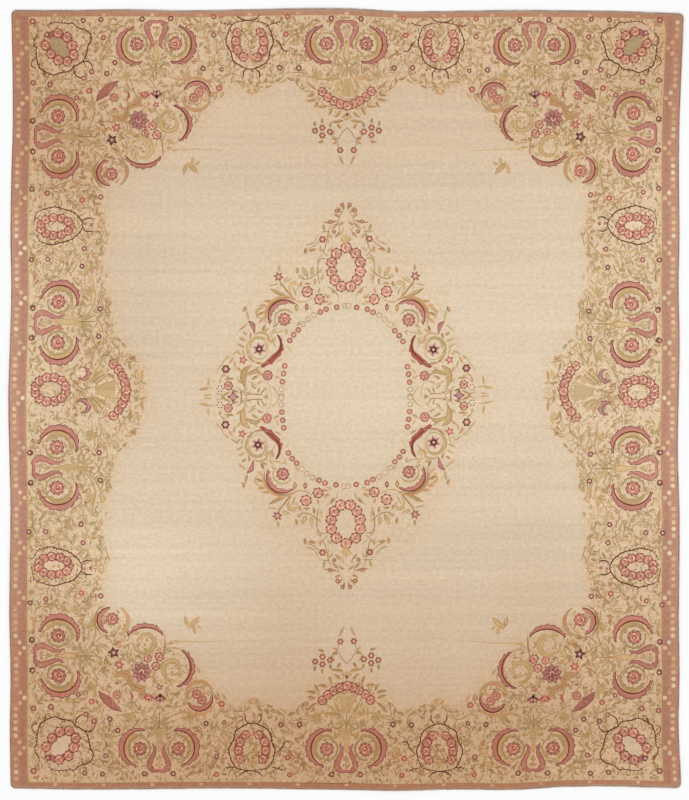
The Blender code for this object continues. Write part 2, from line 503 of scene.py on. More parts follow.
quarter += twig([276.5 + 39.5j, 281 + 44j, 284 + 49.5j, 288 + 51j], cartoon_rng)
quarter += twig([247 + 69.5j, 244.5 + 73j, 244 + 78.6j], cartoon_rng, thorns=False)
quarter += twig([256.5 + 69j, 260 + 72.5j, 260 + 78j], cartoon_rng, thorns=False)
quarter += tulip(252.5 + 88j, 90, 6, wool="old gold", cup="straw")
quarter += [("mauve", disc(253 + 70.5j, 1.6, points=6)), ("mauve", disc(253 + 77j, 1.9, points=6))]
quarter.append(("shell pink", disc(253 + 77j, 0.9, points=5)))

# The wreaths of the side border: one of eleven roses in a thorny twig, and a larger one of twelve on the
# cross line, with a fan of pale leaves in its heart.
side_wreath = []
for k in range(11):
    angle = 2 * math.pi * k / 11
    at = complex(15.2 * math.cos(angle), 9.2 * math.sin(angle))
    side_wreath += rose(at, 4.9, turn=cartoon_rng.uniform(0, 120))
SIDE_TWIG = [
    (-22, -1),
    (-19.5, -13),
    (-11.4, -17),
    (-0.4, -19.5),
    (10, -16.5),
    (19, -13.5),
    (26.5, -5),
    (27.5, 2),
    (21.6, 10),
    (13.6, 15),
    (4, 17.2),
    (-2, 19.2),
    (-8.5, 18),
    (-16, 15),
    (-20.2, 8),
]
quarter.append(("mauve", disc(55 + 225.5j, 18.6, 12.6, points=26, dent=0.05)))
quarter.append(("ground", disc(55 + 225.5j, 10.8, 5.2, points=12)))
quarter += placed(side_wreath, 55 + 225.5j)
quarter += placed(twig([complex(*row) for row in SIDE_TWIG], cartoon_rng), 55 + 225j)
quarter += twig([82.5 + 220j, 87 + 217.5j, 93 + 218j], cartoon_rng, thorns=False)
quarter += twig([82.5 + 229j, 87 + 231.5j, 93.5 + 231j], cartoon_rng, thorns=False)
quarter += [("mauve", disc(85.4 + 223.5j, 1.6, points=6)), ("mauve", disc(91.3 + 224.3j, 1.9, points=6))]
quarter += tulip(98 + 224j, 0, 7, wool="old gold", cup="straw")

on_cross_axis.append(("mauve", disc(52 + 390.5j, 19.6, 15.8, points=28, dent=0.05)))
on_cross_axis.append(("ground", disc(52 + 390.5j, 11.6, 8.2, points=14)))
on_cross_axis += fan(46 + 390.5j, 0, 70, 5, 12, 2.0, wools=("straw", "cream"))
for k in range(12):
    angle = 2 * math.pi * (k + 0.5) / 12
    at = 52 + 390.5j + complex(15.8 * math.cos(angle), 12.2 * math.sin(angle))
    on_cross_axis += rose(at, 5.2, turn=cartoon_rng.uniform(0, 120))

# The half garlands of roses in the middle of each border, with a ribbed bowl of gold outside each. Leaves and
# cherries hang from those at the rug's two ends, and only small sprays of leaves from those at its sides.
GARLAND_DOWN = 391
TOP_GARLAND = [(321.5, 90.5), (327, 96), (333, 100), (339.5, 103)]
SIDE_GARLAND = [(114.5, 365.5), (119.5, 371), (123.2, 377.4), (126, 384)]
band = [complex(a, d) for a, d in TOP_GARLAND]
band += [346.5 + 104.7j] + [complex(2 * MIRROR_ACROSS - at.real, at.imag) for at in band[::-1]]
on_long_axis += stripe("mauve", band, (5, 8.5, 9.5, 8.5, 5))
band = [complex(a, d) for a, d in SIDE_GARLAND]
band += [127 + 391j] + [complex(at.real, 2 * GARLAND_DOWN - at.imag) for at in band[::-1]]
on_cross_axis += stripe("mauve", band, (5, 8.5, 9.5, 8.5, 5))
for across, down in TOP_GARLAND:
    on_long_axis += rose(complex(across, down), 5.0, turn=cartoon_rng.uniform(0, 120))
    on_long_axis += rose(complex(2 * MIRROR_ACROSS - across, down), 5.0, turn=cartoon_rng.uniform(0, 120))
on_long_axis += rose(346.5 + 104.7j, 5.2)
for across, down in SIDE_GARLAND:
    on_cross_axis += rose(complex(across, down), 5.0, turn=cartoon_rng.uniform(0, 120))
    on_cross_axis += rose(complex(across, 2 * GARLAND_DOWN - down), 5.0, turn=cartoon_rng.uniform(0, 120))
on_cross_axis += rose(127 + 391j, 5.2)
bowl = [-3.6 + 0j, 3.6 + 0j, 7 + 6j, 8.8 + 14j, 5 + 17.5j, 0 + 19j, -5 + 17.5j, -8.8 + 14j, -7 + 6j]
golden_bowl = [("moss", [1.05 * point for point in bowl]), ("ground", bowl)]
for k in range(-3, 4):
    rib = [complex(0.8 * k, 1.0), complex(2.3 * k, 16.5)]
    golden_bowl += stripe("straw", rib, (0.9, 2.3))
    golden_bowl += stripe("moss", rib, (0.4, 0.7))
for side in (-1, 1):
    golden_bowl += fan(complex(5 * side, 0), 90 - 55 * side, 50, 3, 17, 3.0)
on_long_axis += placed(golden_bowl, 346.5 + 76j, size=1.16)
on_cross_axis += placed(golden_bowl, 95 + 391j, turn=-90, size=1.3)
for side in (-1, 1):
    at = complex(84, GARLAND_DOWN + 16.5 * side)
    on_cross_axis.append(("ground", disc(at - 1.0, 5.4, points=12, dent=0.10)))
    curl = arc(at, 6.2, 110 * side, -140 * side, 10)
    on_cross_axis += stripe("plum", curl, (0.8, 3.2, 5.2, 4.6, 1.0), teeth=0.9 * side)
    on_cross_axis += stripe("mauve", curl, (0.4, 2.0, 3.8, 3.2, 0.4), teeth=0.6 * side)
    on_cross_axis += stripe("pale mauve", curl[2:-2], (0.4, 1.4, 1.6, 0.8))
    stalk = [at - 7, at - 12 - 3j * side, complex(68, GARLAND_DOWN)]
    on_cross_axis += stripe("leaf olive", stalk, (0.8, 1.0, 0.6))
    for base, tip, width in ((90, 104.5 + 20j, 4.4), (93, 107.5 + 16j, 3.6), (88, 97 + 21j, 3.4)):
        start = complex(base, GARLAND_DOWN + 6 * side)
        end = complex(tip.real, GARLAND_DOWN + tip.imag * side)
        on_cross_axis += two_sided_leaf(start, end, width, "leaf olive", "straw")

GARLAND_LEAVES = [
    # from, to
    (316 + 89j, 305 + 79.5j),
    (315 + 92j, 306 + 95.5j),
    (316 + 98j, 305 + 100j),
    (317 + 100j, 313.5 + 107j),
    (327 + 104.5j, 316 + 106j),
    (331 + 106j, 327.5 + 115j),
    (340 + 111j, 333 + 117j),
    (343 + 119.5j, 329.5 + 121.5j),
    (340 + 128j, 336 + 123j),
    (337 + 137j, 331 + 138.5j),
    (330 + 135j, 333.5 + 129.5j),
    (323 + 140j, 316.5 + 142j),
    (314 + 126j, 313.6 + 120j),
    (321.3 + 123j, 321.3 + 117j),
    (328.8 + 127j, 330.2 + 121.5j),
]
garland_leaves = []
for base, tip in GARLAND_LEAVES:
    start, end = base - MIRROR_ACROSS, tip - MIRROR_ACROSS
    garland_leaves += two_sided_leaf(start, end, 3.6, "walnut gold", "old gold")
for across, down in ((-32, 130), (-24.7, 127), (-17.2, 131), (-24.7, 134.6), (-6.8, 149.5)):
    garland_leaves += small_flower(complex(across, down), 3.4, wool="cherry")
garland_leaves += stripe("walnut gold", [0 + 127j, -5 + 132j, -10 + 141j], (0.8, 0.9, 0.7))
garland_leaves += stripe("walnut gold", [-10 + 141j, -13 + 137j, -20 + 132j], (0.7, 0.9, 0.6))
garland_leaves += stripe("walnut gold", [-10 + 141j, -8 + 148j], (0.8, 0.8))
garland_leaves.append(("amber", leaf(-9 + 140j, -15 + 144j, 2.6)))
garland_leaves.append(("old gold", leaf(-8.5 + 153.5j, -3 + 165j, 2.8)))
garland_leaves = both_hands(garland_leaves)
garland_leaves += tulip(0 + 113j, 90, 6, wool="old gold", cup="rose brown")
on_long_axis += placed(garland_leaves, MIRROR_ACROSS)
SIDE_SPRAYS = [
    # from, to, width, wool: squares across, and squares away from the cross line
    (131.5 + 19j, 129 + 30j, 3.0, "leaf olive"),
    (132 + 20j, 137 + 27j, 2.2, "straw"),
    (142 + 9j, 143 + 21j, 3.6, "amber"),
    (140 + 8.5j, 148 + 6.5j, 2.4, "old gold"),
    (137 + 3j, 147 + 1.5j, 2.0, "straw"),
    (117 + 33j, 129 + 33.5j, 2.8, "old gold"),
    (120 + 30j, 113 + 27j, 2.4, "moss"),
    (119.5 + 41j, 112 + 48j, 2.6, "old gold"),
]
for side in (-1, 1):
    stem = [complex(x, GARLAND_DOWN + y * side) for x, y in ((136, 5), (139.5, 7.5), (143, 10))]
    on_cross_axis += stripe("walnut gold", stem, (0.8, 1.1, 0.8))
    stem = [complex(x, GARLAND_DOWN + y * side) for x, y in ((119, 27), (121, 35), (119.5, 41))]
    on_cross_axis += stripe("walnut gold", stem, (0.8, 1.1, 0.8))
    for base, tip, width, wool in SIDE_SPRAYS:
        start = complex(base.real, GARLAND_DOWN + base.imag * side)
        end = complex(tip.real, GARLAND_DOWN + tip.imag * side)
        on_cross_axis.append((wool, leaf(start, end, width)))

# The corner spandrels: a shell, a large rosette, an acanthus leaf and four scrolls round the corners of
# the field.


def star(at, r, turn=0.0, points=5, wool="plum", heart="mauve"):
    """A flower of pointed petals, darker at the tips."""
    return [
        (wool, disc(at, r, turn=turn, points=2 * points, dent=0.48)),
        (heart, disc(at, 0.55 * r, turn=turn, points=2 * points, dent=0.30)),
        ("shell pink", disc(at, 0.2 * r, points=5)),
    ]


def spiral(middle, radius, start, end, width, wool="old gold", edge="moss"):
    """A scroll that winds in to its middle, widest where it starts."""
    steps = max(6, round(abs(end - start) / 35))
    line = []
    for k in range(steps + 1):
        t = k / steps
        line.append(middle + cmath.rect(radius * (1 - 0.55 * t), math.radians(start + (end - start) * t)))
    return [
        (edge, stroke(line, (0.8, width + 1.4, width + 1.0, 0.6 * width, 0.9), steps=2, teeth=0.9)),
        (wool, stroke(line, (0.4, width - 0.4, 0.8 * width, 0.3 * width, 0.3), steps=2, teeth=0.5)),
        ("straw", stroke(line[2:], (0.3, 0.36 * width, 0.24 * width, 0.2), steps=2)),
    ]


shell_middle = 110.5 + 92.8j
SHELL_RIM = [
    96.8 + 101j,
    98.0 + 94.6j,
    101.4 + 89.4j,
    106.4 + 85j,
    112.2 + 81.8j,
    120.2 + 80j,
]
SHELL_FOOT = [117.6 + 85.4j, 113.4 + 89.6j, 109.6 + 94.8j, 103.4 + 98j]
quarter.append(("rose brown", SHELL_RIM + SHELL_FOOT))
inner_rim = [at + 0.12 * (shell_middle - at) for at in SHELL_RIM]
quarter.append(("madder pink", inner_rim + [at + 0.15 * (shell_middle - at) for at in SHELL_FOOT]))
for before, after in zip(SHELL_RIM, SHELL_RIM[1:]):
    for at in (before, (before + after) / 2):
        rib = at - shell_middle
        line = [shell_middle + 0.10 * rib, shell_middle + 0.96 * rib]
        quarter += stripe("rose brown", line, (0.5, 0.9), steps=1)
quarter.append(("old rose", leaf(shell_middle, 104 + 90j, 1.8)))
quarter.append(("old rose", leaf(shell_middle, 111.6 + 85j, 1.8)))
quarter += rosette(115.3 + 96.9j, 4.6, outer="rose brown")
ACANTHUS = [
    # from, to, width, shaded side, other side
    (140 + 99j, 146.5 + 96.5j, 4.0, "moss", "old gold"),
    (138 + 104j, 145 + 105.5j, 3.6, "walnut gold", "amber"),
    (130 + 104j, 127.5 + 98j, 3.4, "moss", "straw"),
    (126 + 109j, 120 + 104.5j, 3.2, "walnut gold", "amber"),
    (125 + 120j, 129.5 + 124j, 3.2, "moss", "old gold"),
    (117 + 117j, 113 + 122j, 3.2, "walnut gold", "amber"),
]
for base, tip, width, shade, light in ACANTHUS:
    quarter += two_sided_leaf(base, tip, width, shade, light)
SCROLL_LEAF = [
    112.5 + 114.5j,
    118 + 117.6j,
    124 + 118j,
    128 + 113.6j,
    129.4 + 107.6j,
    134.5 + 104.4j,
    139.6 + 102.6j,
    140.4 + 97.6j,
    137 + 94.5j,
]
quarter += stripe(
    "leaf olive", SCROLL_LEAF, (1.2, 5.4, 7.8, 6.6, 5.2, 6.8, 7.4, 5.2, 1.8), steps=3, teeth=0.9
)
quarter += stripe("amber", SCROLL_LEAF, (0.6, 3.8, 6.0, 5.0, 3.4, 5.0, 5.6, 3.6, 0.8), steps=3, teeth=0.6)
quarter += stripe("walnut gold", SCROLL_LEAF[1:8], (0.4, 1.3, 1.0, 1.3, 0.4))
quarter.append(("crimson", leaf(113 + 109j, 118 + 108j, 2.4)))
quarter += stripe("straw", [120 + 101j, 121 + 93j, 126 + 89j], (0.6, 2.0, 0.8))
quarter += stripe("crimson", [129.2 + 90.5j, 130.6 + 95j, 128.4 + 100.5j], (0.8, 2.6, 0.6))
quarter += tulip(146.8 + 97.5j, -90, 6.2, wool="crimson", cup="old rose")
quarter += tulip(158.4 + 97j, -90, 6.6, wool="mauve plum", cup="dark plum")
quarter += star(157.6 + 104.6j, 4.2, turn=30, wool="mauve", heart="old rose")
mauve_middle = 140 + 119.6j
quarter.append(("mauve plum", disc(mauve_middle, 10.6, turn=8, points=18, dent=0.24)))
for k in range(9):
    petal = cmath.rect(1.0, math.radians(8 + 40 * k))
    quarter.append(("mauve", disc(mauve_middle + 7.2 * petal, 2.5, 2.2, turn=40 * k, points=8, dent=0.15)))
    quarter.append(("pale mauve", leaf(mauve_middle + 5.8 * petal, mauve_middle + 9.0 * petal, 1.7)))
for k in range(7):
    petal = cmath.rect(1.0, math.radians(25 + 360 / 7 * k))
    quarter.append(("plum", leaf(mauve_middle + 2.4 * petal, mauve_middle + 6.2 * petal, 2.8)))
    curl = disc(mauve_middle + 4.5 * petal, 1.5, 1.1, turn=25 + 360 / 7 * k, points=6)
    quarter.append(("pale mauve", curl))
quarter.append(("madder red", disc(mauve_middle, 3.3, points=12, dent=0.16)))
quarter += stripe("shell pink", arc(mauve_middle, 2.1, -60, 210, 6), (0.6, 1.4, 0.6), steps=1)
for across, down, r in ((154.3, 125.4, 4.6), (146.4, 133.0, 4.2), (158.0, 134.7, 4.8)):
    quarter += rose(complex(across, down), r, turn=cartoon_rng.uniform(0, 120))
quarter += star(117.8 + 126.7j, 5.6, turn=10, points=6, wool="crimson", heart="old rose")
quarter += star(112.8 + 139.0j, 6.4, turn=30, points=5, wool="dark plum", heart="mauve plum")
quarter += fan(121 + 150j, 200, 60, 3, 10, 3.4, wools=("amber", "walnut gold"))
quarter += fan(152 + 113j, -60, 60, 3, 8, 2.2, wools=("old gold", "moss"))

SCROLLS = [
    # middle across, middle down, radius, from, to, width, side of the dark vein
    (197.8, 96.2, 13.2, 208, 366, 4.8, 1),
    (171.5, 124.0, 18.8, -80, 64, 5.0, -0.4),
    (144.5, 145.5, 20.4, 32, 150, 4.6, -1),
    (112.4, 171.5, 13.6, 100, 248, 4.8, 1),
]
quarter += stripe("amber", arc(197.8 + 96.2j, 17.6, 348, 215, 8), (0.6, 2.4, 3.2, 2.6, 0.6), teeth=-1.0)
quarter += stripe(
    "walnut gold", arc(112.4 + 171.5j, 17.4, 238, 112, 7), (0.6, 2.2, 2.8, 2.2, 0.6), teeth=-1.0
)
for across, down, radius, start, end, width, vein in SCROLLS:
    quarter += crescent(complex(across, down), radius, start, end, width, inner=None, vein=vein)
quarter += rosette(200.6 + 92.4j, 5.0, outer="rose brown")
quarter += rosette(195.2 + 98.0j, 5.0, outer="rose brown")
quarter.append(("amber", leaf(199 + 97j, 208 + 101j, 3.2)))
quarter += stripe("moss", arc(197.8 + 96.2j, 14.2, 178, 16, 9), (0.8, 3.6, 4.4, 3.4, 1.2), teeth=0.4)
quarter += stripe("amber", arc(197.8 + 96.2j, 14.2, 170, 26, 9), (0.6, 2.2, 3.0, 2.2, 0.6))
quarter += stripe("moss", [179 + 95j, 183 + 91j, 188 + 93j], (0.8, 2.2, 0.8))
quarter += spiral(171.4 + 122.4j, 11.6, 285, -130, 3.8, wool="old gold", edge="moss")
quarter += spiral(143.4 + 149.4j, 12.4, 186, 590, 3.5, wool="old gold", edge="moss")
quarter += rosette(112 + 173.2j, 6.6, outer="rose brown")
quarter += stripe("moss", arc(112.4 + 171.5j, 15.2, -72, 62, 6), (0.8, 3.6, 4.2, 3.0, 0.8), teeth=0.4)
quarter += stripe("amber", arc(112.4 + 171.5j, 15.2, -62, 54, 6), (0.4, 2.2, 2.8, 2.0, 0.4))
quarter += stripe("walnut gold", [161.5 + 137j, 163.5 + 145j, 163.8 + 156j], (1.0, 1.5, 0.9))
quarter += stripe("old gold", [166 + 143j, 174 + 143.5j, 181 + 141j], (0.9, 1.1, 0.7))
quarter += [("old gold", leaf(166 + 147j, 177 + 151j, 3.4)), ("straw", leaf(168 + 151j, 177 + 148j, 2.0))]
quarter += stripe("straw", [176 + 150j, 196 + 149.6j, 224 + 150.6j], (1.6, 1.2, 0.6), steps=3)
for base, tip, width in (
    (193.5 + 157j, 192.5 + 166j, 4.2),
    (187 + 162.5j, 199 + 175j, 7.0),
    (187 + 164j, 183.5 + 176.5j, 4.8),
    (195 + 166j, 201 + 162j, 3.0),
):
    quarter.append(("old gold", leaf(base, tip, width)))
    quarter.append(("straw", leaf(base + 0.3 * (tip - base), base + 0.85 * (tip - base), 0.35 * width)))

LITTLE_FLOWERS = [
    # across, down, radius, wool
    (32.0, 21.0, 3.4, "mauve plum"),
    (83.0, 20.0, 2.8, "plum"),
    (33.0, 82.0, 3.0, "mauve plum"),
    (50.0, 84.0, 3.2, "mauve plum"),
    (90.0, 90.0, 3.2, "crimson"),
    (101.0, 19.0, 2.8, "plum"),
    (104.0, 37.0, 2.9, "mauve plum"),
    (116.0, 62.0, 2.9, "plum"),
    (108.0, 73.0, 2.9, "plum"),
    (205.0, 69.0, 2.9, "plum"),
    (216.0, 18.0, 2.8, "crimson"),
    (216.0, 36.0, 3.0, "mauve plum"),
    (77.0, 97.0, 2.8, "mauve plum"),
    (280.0, 67.0, 3.0, "plum"),
    (289.0, 17.0, 2.9, "crimson"),
    (287.0, 34.0, 3.1, "crimson"),
    (298.7, 67.0, 3.2, "plum"),
    (220.5, 88.5, 3.2, "crimson"),
    (223.0, 70.0, 2.4, "plum"),
    (31.5, 188.0, 2.9, "plum"),
    (47.0, 192.0, 2.9, "mauve plum"),
    (101.0, 196.4, 3.0, "mauve plum"),
    (82.0, 199.0, 3.2, "crimson"),
    (84.0, 249.0, 2.9, "mauve plum"),
    (30.4, 259.0, 2.9, "plum"),
    (47.0, 259.0, 2.9, "mauve plum"),
    (82.0, 267.0, 2.9, "plum"),
    (101.0, 311.0, 3.0, "plum"),
    (100.0, 338.4, 3.0, "plum"),
    (33.0, 120.0, 3.0, "plum"),
    (33.0, 151.0, 3.0, "plum"),
    (32.5, 309.0, 2.8, "plum"),
    (31.0, 339.0, 2.8, "plum"),
]
for across, down, r, wool in LITTLE_FLOWERS:
    quarter += small_flower(complex(across, down), r, turn=cartoon_rng.uniform(0, 72), wool=wool)

# The medallion: an open oval of beads between two upright wreaths, with scrolls, stars and sprigs round it.
# All of it is knotted into the plain field, with few vines between.
MEDALLION_BEADS = [
    # across, down, wool
    (344.0, 306.0, "straw"),
    (336.0, 307.5, "old rose"),
    (325.3, 309.3, "old rose"),
    (319.4, 312.2, "old rose"),
    (313.2, 315.0, "straw"),
    (307.4, 319.0, "straw"),
    (302.2, 324.0, "straw"),
    (297.4, 329.8, "old rose"),
    (292.8, 334.6, "old rose"),
    (289.0, 340.2, "old rose"),
    (284.2, 365.4, "old rose"),
    (283.0, 373.0, "old rose"),
    (282.0, 381.0, "old rose"),
    (281.3, 388.4, "straw"),
    (281.3, 395.2, "straw"),
]
for across, down, wool in MEDALLION_BEADS:
    at = complex(across, down)
    quarter.append(("rose brown" if wool == "old rose" else "leaf olive", disc(at, 3.0, points=9)))
    quarter.append(("old rose" if wool == "old rose" else "cream", disc(at, 2.2, points=8)))
    quarter.append(("bead buff", disc(at, 1.0, points=5)))

WREATH_MIDDLE = 345 + 267.5j
MEDALLION_WREATH = [
    # across, down, from the wreath's middle
    (-0.0, -19.6),
    (-9.6, -14.0),
    (-14.3, -5.0),
    (-14.3, 4.6),
    (-11.0, 13.0),
    (-4.8, 19.2),
]
for across, down in MEDALLION_WREATH:
    at = WREATH_MIDDLE + complex(across, down)
    on_long_axis += rose(at, 5.8, turn=cartoon_rng.uniform(0, 120), body="faded rose")
    if across:
        at = WREATH_MIDDLE + complex(-across, down)
        on_long_axis += rose(at, 5.8, turn=cartoon_rng.uniform(0, 120), body="faded rose")
on_long_axis += fan(345 + 244j, -90, 80, 5, 12, 3.2)
top_sprigs = [("old gold", stroke([-2 - 58j, -6 - 52j, -8 - 46j, -6 - 36j], (0.7, 1.2, 0.9), steps=3))]
for base, tip in (
    (-4 - 55j, -9 - 61j),
    (-6 - 51j, -12 - 54j),
    (-8 - 47j, -23 - 45j),
    (-8 - 45j, -15 - 38j),
    (-7 - 42j, -2 - 46j),
    (-2 - 58j, -3 - 66j),
    (-6 - 36j, -11 - 30j),
):
    top_sprigs += two_sided_leaf(base, tip, 3.2, "walnut gold", "old gold")
for at, r in ((-9 - 57j, 2.4), (-16 - 46j, 2.2), (-4 - 63j, 2.2), (-12 - 36j, 2.2)):
    top_sprigs += small_flower(at, r, wool="rose brown")
top_sprigs += small_flower(-23.5 - 28.5j, 3.6, wool="mauve plum")
top_sprigs += stripe("walnut gold", [-26 - 27j, -32 - 22j, -36 - 20j, -40 - 17j], (0.7, 0.9, 0.5))
top_sprigs += stripe(
    "leaf olive", [-28 - 9j, -28.5 + 1j, -28 + 10j, -26 + 17j], (0.8, 1.6, 1.4, 0.8), steps=3
)
top_sprigs += stripe("leaf olive", [-27.5 + 4j, -33 + 9j, -41 + 11.5j, -48 + 9j], (1.0, 1.5, 0.8), steps=3)
top_sprigs += stripe("leaf olive", [-28.5 - 4j, -25 - 9j, -20 - 9j], (0.8, 1.5, 0.8), steps=3)
for base, tip, width in (
    (-38 + 10j, -44 - 1j, 5.0),
    (-34 + 8j, -33.5 - 2j, 4.4),
    (-42 + 11j, -48 + 6.5j, 3.6),
    (-28.5 - 6j, -24 - 13j, 3.6),
    (-28 + 6j, -24 + 1j, 2.8),
):
    top_sprigs.append(("leaf olive", leaf(base, tip, width)))
    top_sprigs.append(("straw", leaf(base + 0.15 * (tip - base), base + 0.9 * (tip - base), 0.6 * width)))
on_long_axis += placed(both_hands(top_sprigs), WREATH_MIDDLE)

quarter += star(277.6 + 276.2j, 5.6, turn=10, points=6, wool="mauve plum", heart="old rose")
quarter += [("moss", leaf(278 + 271.5j, 278.4 + 264j, 3.4)), ("old gold", leaf(279 + 281j, 281 + 287j, 2.2))]
quarter += stripe("walnut gold", [279 + 281j, 285 + 289.5j, 293 + 299j], (1.0, 1.8, 1.6))
quarter += [
    ("walnut gold", leaf(287 + 297j, 268.5 + 288j, 4.6)), ("old gold", leaf(285 + 295j, 271 + 289j, 2.6))
]
quarter += spiral(293.8 + 286.8j, 5.6, 130, 420, 2.2, wool="straw", edge="old gold")
quarter += stripe(
    "old gold", [289.5 + 290j, 291 + 296j, 296 + 301j, 305 + 301.5j, 312 + 297j], (0.9, 1.3, 1.5, 1.0)
)
quarter += rose(306.2 + 291.7j, 5.9, turn=30, body="faded rose")
quarter += rose(318.4 + 299.4j, 5.6, turn=80, body="faded rose")
quarter += [("amber", leaf(322 + 303j, 329 + 301j, 2.6)), ("amber", leaf(317 + 294j, 319 + 287j, 2.4))]
for base, tip, wool in (
    (295.2 + 303j, 295.6 + 311.5j, "walnut gold"), (305.6 + 303j, 305.8 + 311j, "cherry")
):
    quarter += [(wool, leaf(base, tip, 4.4)), ("straw", leaf(base + 2.2j, tip - 2j, 1.6))]
quarter += stripe("amber", arc(284.8 + 317.6j, 21.2, 298, 162, 9), (0.6, 3.2, 4.0, 3.2, 0.6), teeth=-1.3)
quarter += stripe("walnut gold", arc(284.8 + 317.6j, 20.0, 300, 164, 9), (0.6, 1.6, 2.0, 1.6, 0.6))
quarter += crescent(284.8 + 317.6j, 16.8, 158, 304, 4.8, inner=None, vein=1)
quarter += stripe("moss", arc(283.4 + 319j, 9.6, 150, 330, 7), (0.6, 1.8, 2.2, 1.8, 0.6), teeth=0.7)
quarter += rosette(283.4 + 319j, 6.6)
quarter.append(("moss", leaf(278 + 323j, 271 + 327j, 2.6)))
quarter += stripe("old gold", arc(261 + 313j, 5.4, 110, 290, 5), (0.8, 2.6, 2.8, 0.8), teeth=0.6)
quarter += stripe("mauve plum", [247.5 + 320.5j, 251.8 + 324.5j, 253.6 + 333j], (1.4, 5.2, 1.0), steps=3)
quarter += stripe("madder pink", [248.5 + 321.5j, 251.8 + 325j, 253.2 + 331.5j], (0.6, 3.4, 0.6), steps=3)
quarter += [("moss", leaf(248 + 320j, 245.4 + 309j, 3.2)), ("old gold", leaf(247 + 323j, 237 + 331j, 2.4))]
quarter += stripe("old gold", [254 + 334j, 260 + 332j, 267 + 335j, 268.5 + 341j], (1.2, 2.6, 2.4, 0.8))
quarter.append(("amber", leaf(262 + 331.5j, 268 + 328j, 3.0)))
quarter += [
    ("amber", leaf(265 + 337j, 272 + 343j, 3.2)),
    ("moss", stroke(arc(258.3 + 348.6j, 10, 20, 200, 6), (0.6, 1.0, 0.6))),
]
CRIMSON_SCROLL = [276.3 + 334j, 280 + 342j, 279.2 + 350j, 273.5 + 356.5j, 267.5 + 361.4j, 259.6 + 366j]
quarter += stripe("mauve plum", CRIMSON_SCROLL, (1.2, 2.4, 4.0, 6.0, 5.0, 0.8), steps=3, teeth=1.7)
quarter += stripe("crimson", CRIMSON_SCROLL, (0.6, 1.6, 2.8, 4.4, 3.6, 0.4), steps=3, teeth=1.0)
quarter += stripe("madder brown", CRIMSON_SCROLL, (1.0, 1.6, 1.6, 1.2, 0.8, 0.4))
quarter += stripe("old gold", arc(258.3 + 348.4j, 12.4, -70, -248, 8), (0.8, 2.0, 2.4, 1.8, 0.8), teeth=1.3)
quarter += stripe("moss", arc(257.6 + 345.4j, 7.8, -200, 60, 7), (0.6, 1.4, 1.8, 1.0, 0.6), teeth=0.9)
quarter += stripe("walnut gold", [247 + 356j, 253 + 361j, 260 + 363j, 268 + 361.6j], (0.8, 1.4, 1.6, 0.8))
quarter += stripe(
    "straw", [262 + 336j, 266.5 + 341j, 267.4 + 347j, 264.4 + 353j], (0.6, 1.6, 1.6, 0.6), teeth=0.7
)
quarter += star(258.3 + 348.6j, 7.4, turn=20, points=6, wool="mauve", heart="dark plum")
quarter += star(242.2 + 359.4j, 5.0, turn=0, points=5, wool="crimson", heart="old rose")
quarter += [
    ("old gold", leaf(241 + 355j, 234.5 + 349.5j, 2.2)), ("old gold", leaf(243 + 355j, 241.5 + 347j, 2.0))
]
quarter += stripe("old gold", [246.5 + 360.5j, 254 + 361.5j, 261 + 361j], (0.7, 1.1, 0.8))
quarter += small_flower(225.1 + 368.4j, 4.3)
quarter += [("amber", leaf(228 + 364j, 233 + 356j, 3.0)), ("old gold", leaf(225.5 + 373j, 219.5 + 377j, 2.6))]
quarter += [("old gold", leaf(236 + 366j, 240.5 + 371.5j, 3.0)), ("moss", leaf(233 + 360j, 235 + 368j, 2.6))]
for base, tip, width, wool in (
    (271 + 300j, 262 + 301j, 3.4, "amber"),
    (266 + 305j, 257.5 + 305j, 3.6, "amber"),
    (263.5 + 311j, 256 + 315j, 3.2, "walnut gold"),
    (263 + 317j, 257 + 323j, 3.0, "amber"),
    (264.5 + 324j, 261 + 331j, 3.0, "walnut gold"),
    (246 + 341j, 237.5 + 337j, 2.8, "old gold"),
    (244 + 347j, 236 + 343j, 2.6, "moss"),
    (286 + 345j, 291 + 352j, 2.4, "straw"),
    (275 + 362j, 282 + 358j, 2.6, "old gold"),
    (254 + 369j, 259 + 366j, 2.4, "moss"),
    (256 + 383j, 263 + 380j, 2.6, "old gold"),
    (250 + 383j, 256 + 389j, 2.4, "moss"),
    (262 + 386j, 268 + 390j, 2.4, "straw"),
    (236 + 378j, 241 + 383j, 2.6, "old gold"),
):
    quarter.append((wool, leaf(base, tip, width)))
quarter += rosette(267 + 374.8j, 5.2, outer="rose brown")
quarter += stripe(
    "walnut gold", [250 + 365j, 244 + 370j, 242.4 + 378j, 244.4 + 387j], (1.0, 6.4, 6.4, 1.0), steps=3
)
quarter += stripe(
    "old gold", [249 + 366j, 244.4 + 370j, 242.8 + 378j, 244.4 + 385j], (0.6, 4.6, 4.6, 0.6), steps=3
)
quarter += stripe(
    "walnut gold", [245 + 374.5j, 252 + 371.5j, 257 + 371j, 262 + 375j], (2.0, 4.4, 4.2, 0.8), steps=3
)
quarter += stripe(
    "old gold", [245 + 374.5j, 252 + 371.5j, 257 + 371j, 261 + 374j], (1.2, 3.0, 2.8, 0.4), steps=3
)
quarter += rose(227.8 + 385j, 4.6, turn=50)
for k in range(6):
    dot = 219.4 + 388j + cmath.rect(3.0, math.radians(60 * k))
    quarter.append(("cherry", disc(dot, 0.9, points=5)))
quarter.append(("walnut gold", leaf(230 + 389j, 238 + 391.5j, 2.6)))
quarter += stripe("walnut gold", [245 + 391.5j, 252 + 393.5j, 262 + 393.5j], (1.0, 1.1, 1.3))
quarter += [
    ("walnut gold", leaf(257 + 393j, 259 + 386.5j, 1.8)),
    ("walnut gold", leaf(260 + 393j, 265 + 387.5j, 1.6)),
]
